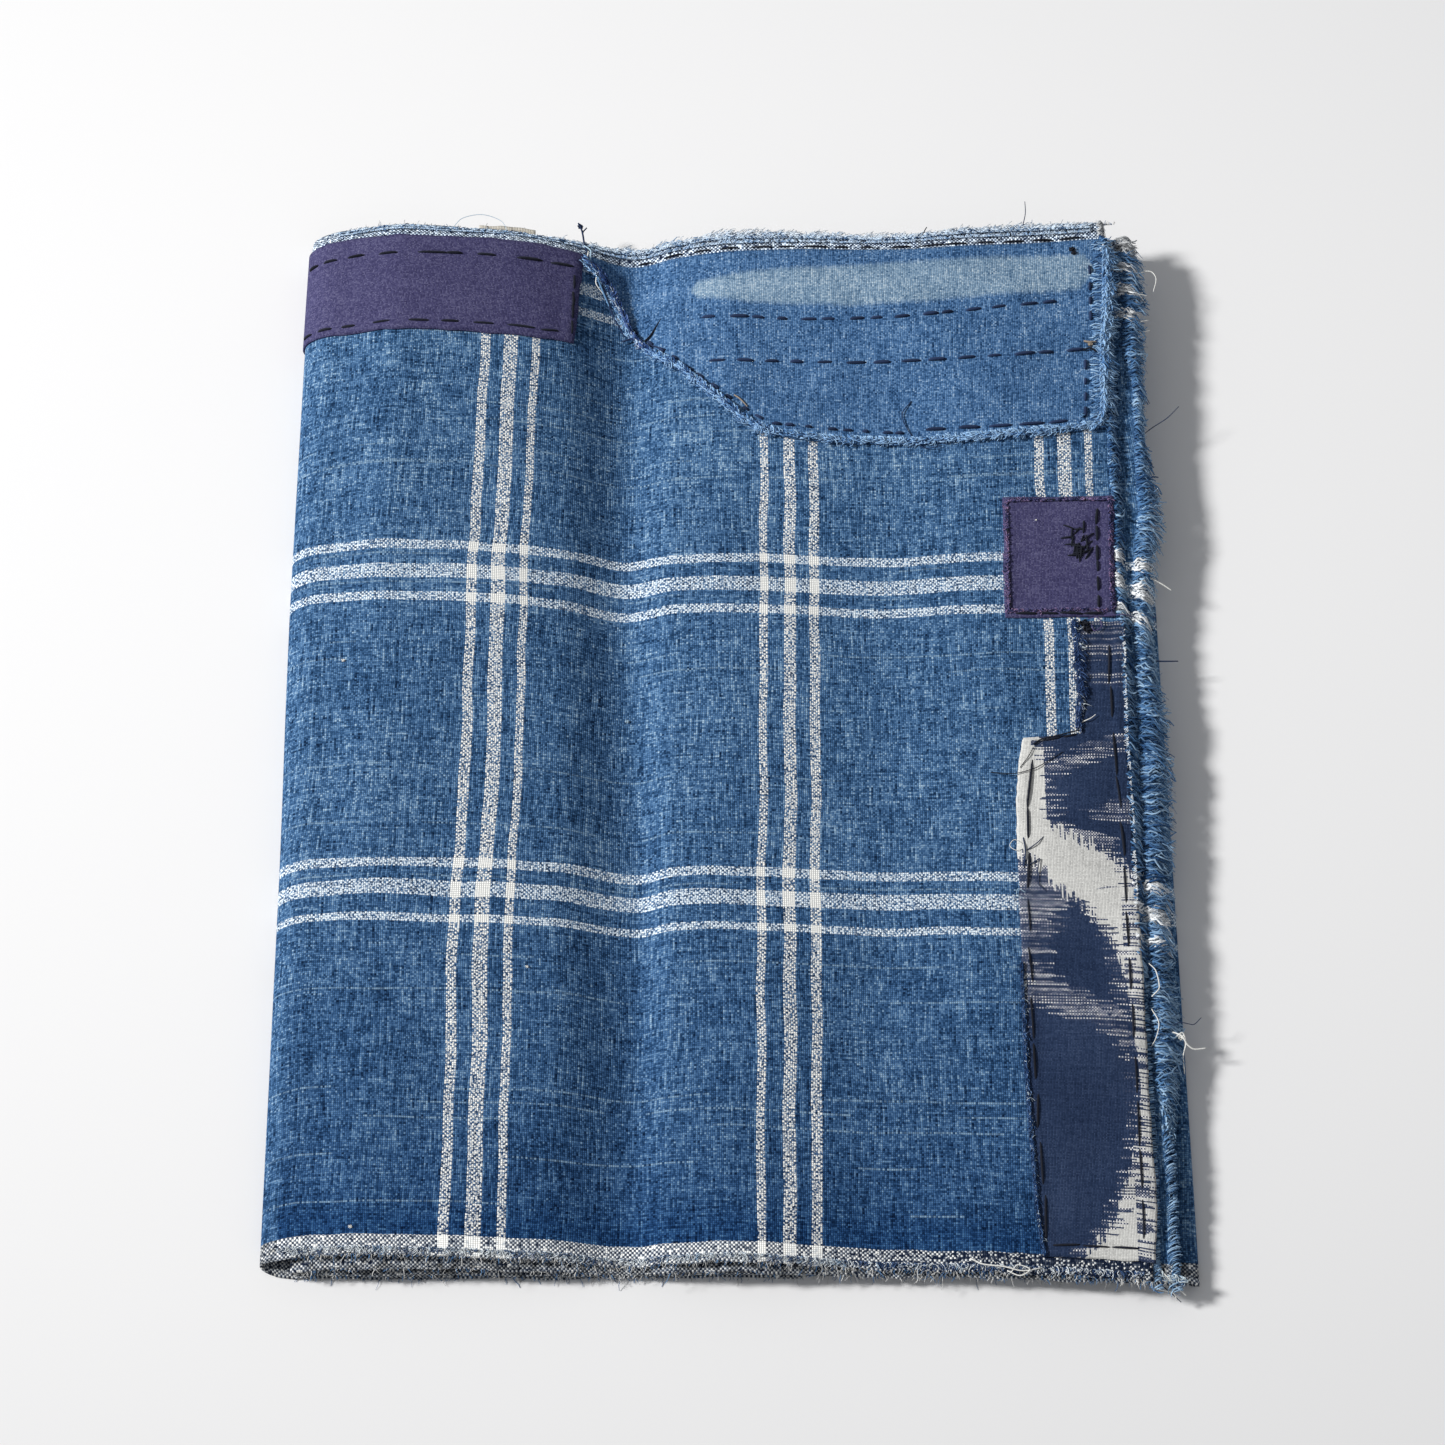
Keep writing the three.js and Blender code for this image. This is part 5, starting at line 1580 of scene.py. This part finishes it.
# Floor, light and camera. The cloth lies on a plain pale surface, lit softly from the left and
# a little from behind, and is seen from 62 degrees above that surface.
FLOOR_HALF = 3.0
floor_corners = np.array([(-1, -1, 0), (1, -1, 0), (1, 1, 0), (-1, 1, 0)]) * FLOOR_HALF
floor_mesh = bpy.data.meshes.new("floor")
floor_mesh.from_pydata(floor_corners.tolist(), [], [(0, 1, 2, 3)])
floor = bpy.data.objects.new("floor", floor_mesh)
bpy.context.scene.collection.objects.link(floor)
floor_paint = bpy.data.materials.new("floor_paint")
floor_paint.use_nodes = True
floor_shader = floor_paint.node_tree.nodes["Principled BSDF"]
floor_shader.inputs["Base Color"].default_value = (0.86, 0.86, 0.87, 1)
floor_shader.inputs["Roughness"].default_value = 0.75
floor_mesh.materials.append(floor_paint)

world = bpy.data.worlds.new("studio")
world.use_nodes = True
sky = world.node_tree.nodes["Background"]
sky.inputs["Color"].default_value = (0.95, 0.97, 1.0, 1)
sky.inputs["Strength"].default_value = 0.29
bpy.context.scene.world = world

LOOK_AT = SHIFT * MM
KEY_DISTANCE = 4.2
KEY_ELEVATION = np.radians(38.0)
KEY_TURN = np.radians(-2.0)
KEY_AIM = np.array((-0.15, 0.12, 0.0))
KEY_POOL = 0.9
key_data = bpy.data.lights.new("key", "SPOT")
key_data.shadow_soft_size = 0.36
key_data.energy = 1000.0
key_data.color = (1.0, 0.99, 0.97)
key_data.spot_size = 2 * np.arctan(KEY_POOL / KEY_DISTANCE)
key_data.spot_blend = 1.0
key = bpy.data.objects.new("key", key_data)
key_side = np.array((-np.cos(KEY_TURN), -np.sin(KEY_TURN))) * np.cos(KEY_ELEVATION)
key_place = LOOK_AT + KEY_AIM + KEY_DISTANCE * np.array((*key_side, np.sin(KEY_ELEVATION)))
key.location = key_place
key.rotation_euler = Vector(LOOK_AT + KEY_AIM - key_place).to_track_quat("-Z", "Y").to_euler()
bpy.context.scene.collection.objects.link(key)

# The focal length is given in widths of the picture.
CAMERA_ELEVATION = np.radians(62.0)
CAMERA_DISTANCE = 1.2
SENSOR_WIDTH = 36.0
FOCAL_WIDTHS = 4052 / 1445
camera_data = bpy.data.cameras.new("camera")
camera_data.sensor_width = SENSOR_WIDTH
camera_data.lens = SENSOR_WIDTH * FOCAL_WIDTHS
camera = bpy.data.objects.new("camera", camera_data)
camera.location = LOOK_AT + CAMERA_DISTANCE * np.array(
    (0, -np.cos(CAMERA_ELEVATION), np.sin(CAMERA_ELEVATION))
)
camera.rotation_euler = (np.pi / 2 - CAMERA_ELEVATION, 0, 0)
bpy.context.scene.collection.objects.link(camera)
bpy.context.scene.camera = camera
bpy.context.scene.view_settings.view_transform = "Standard"
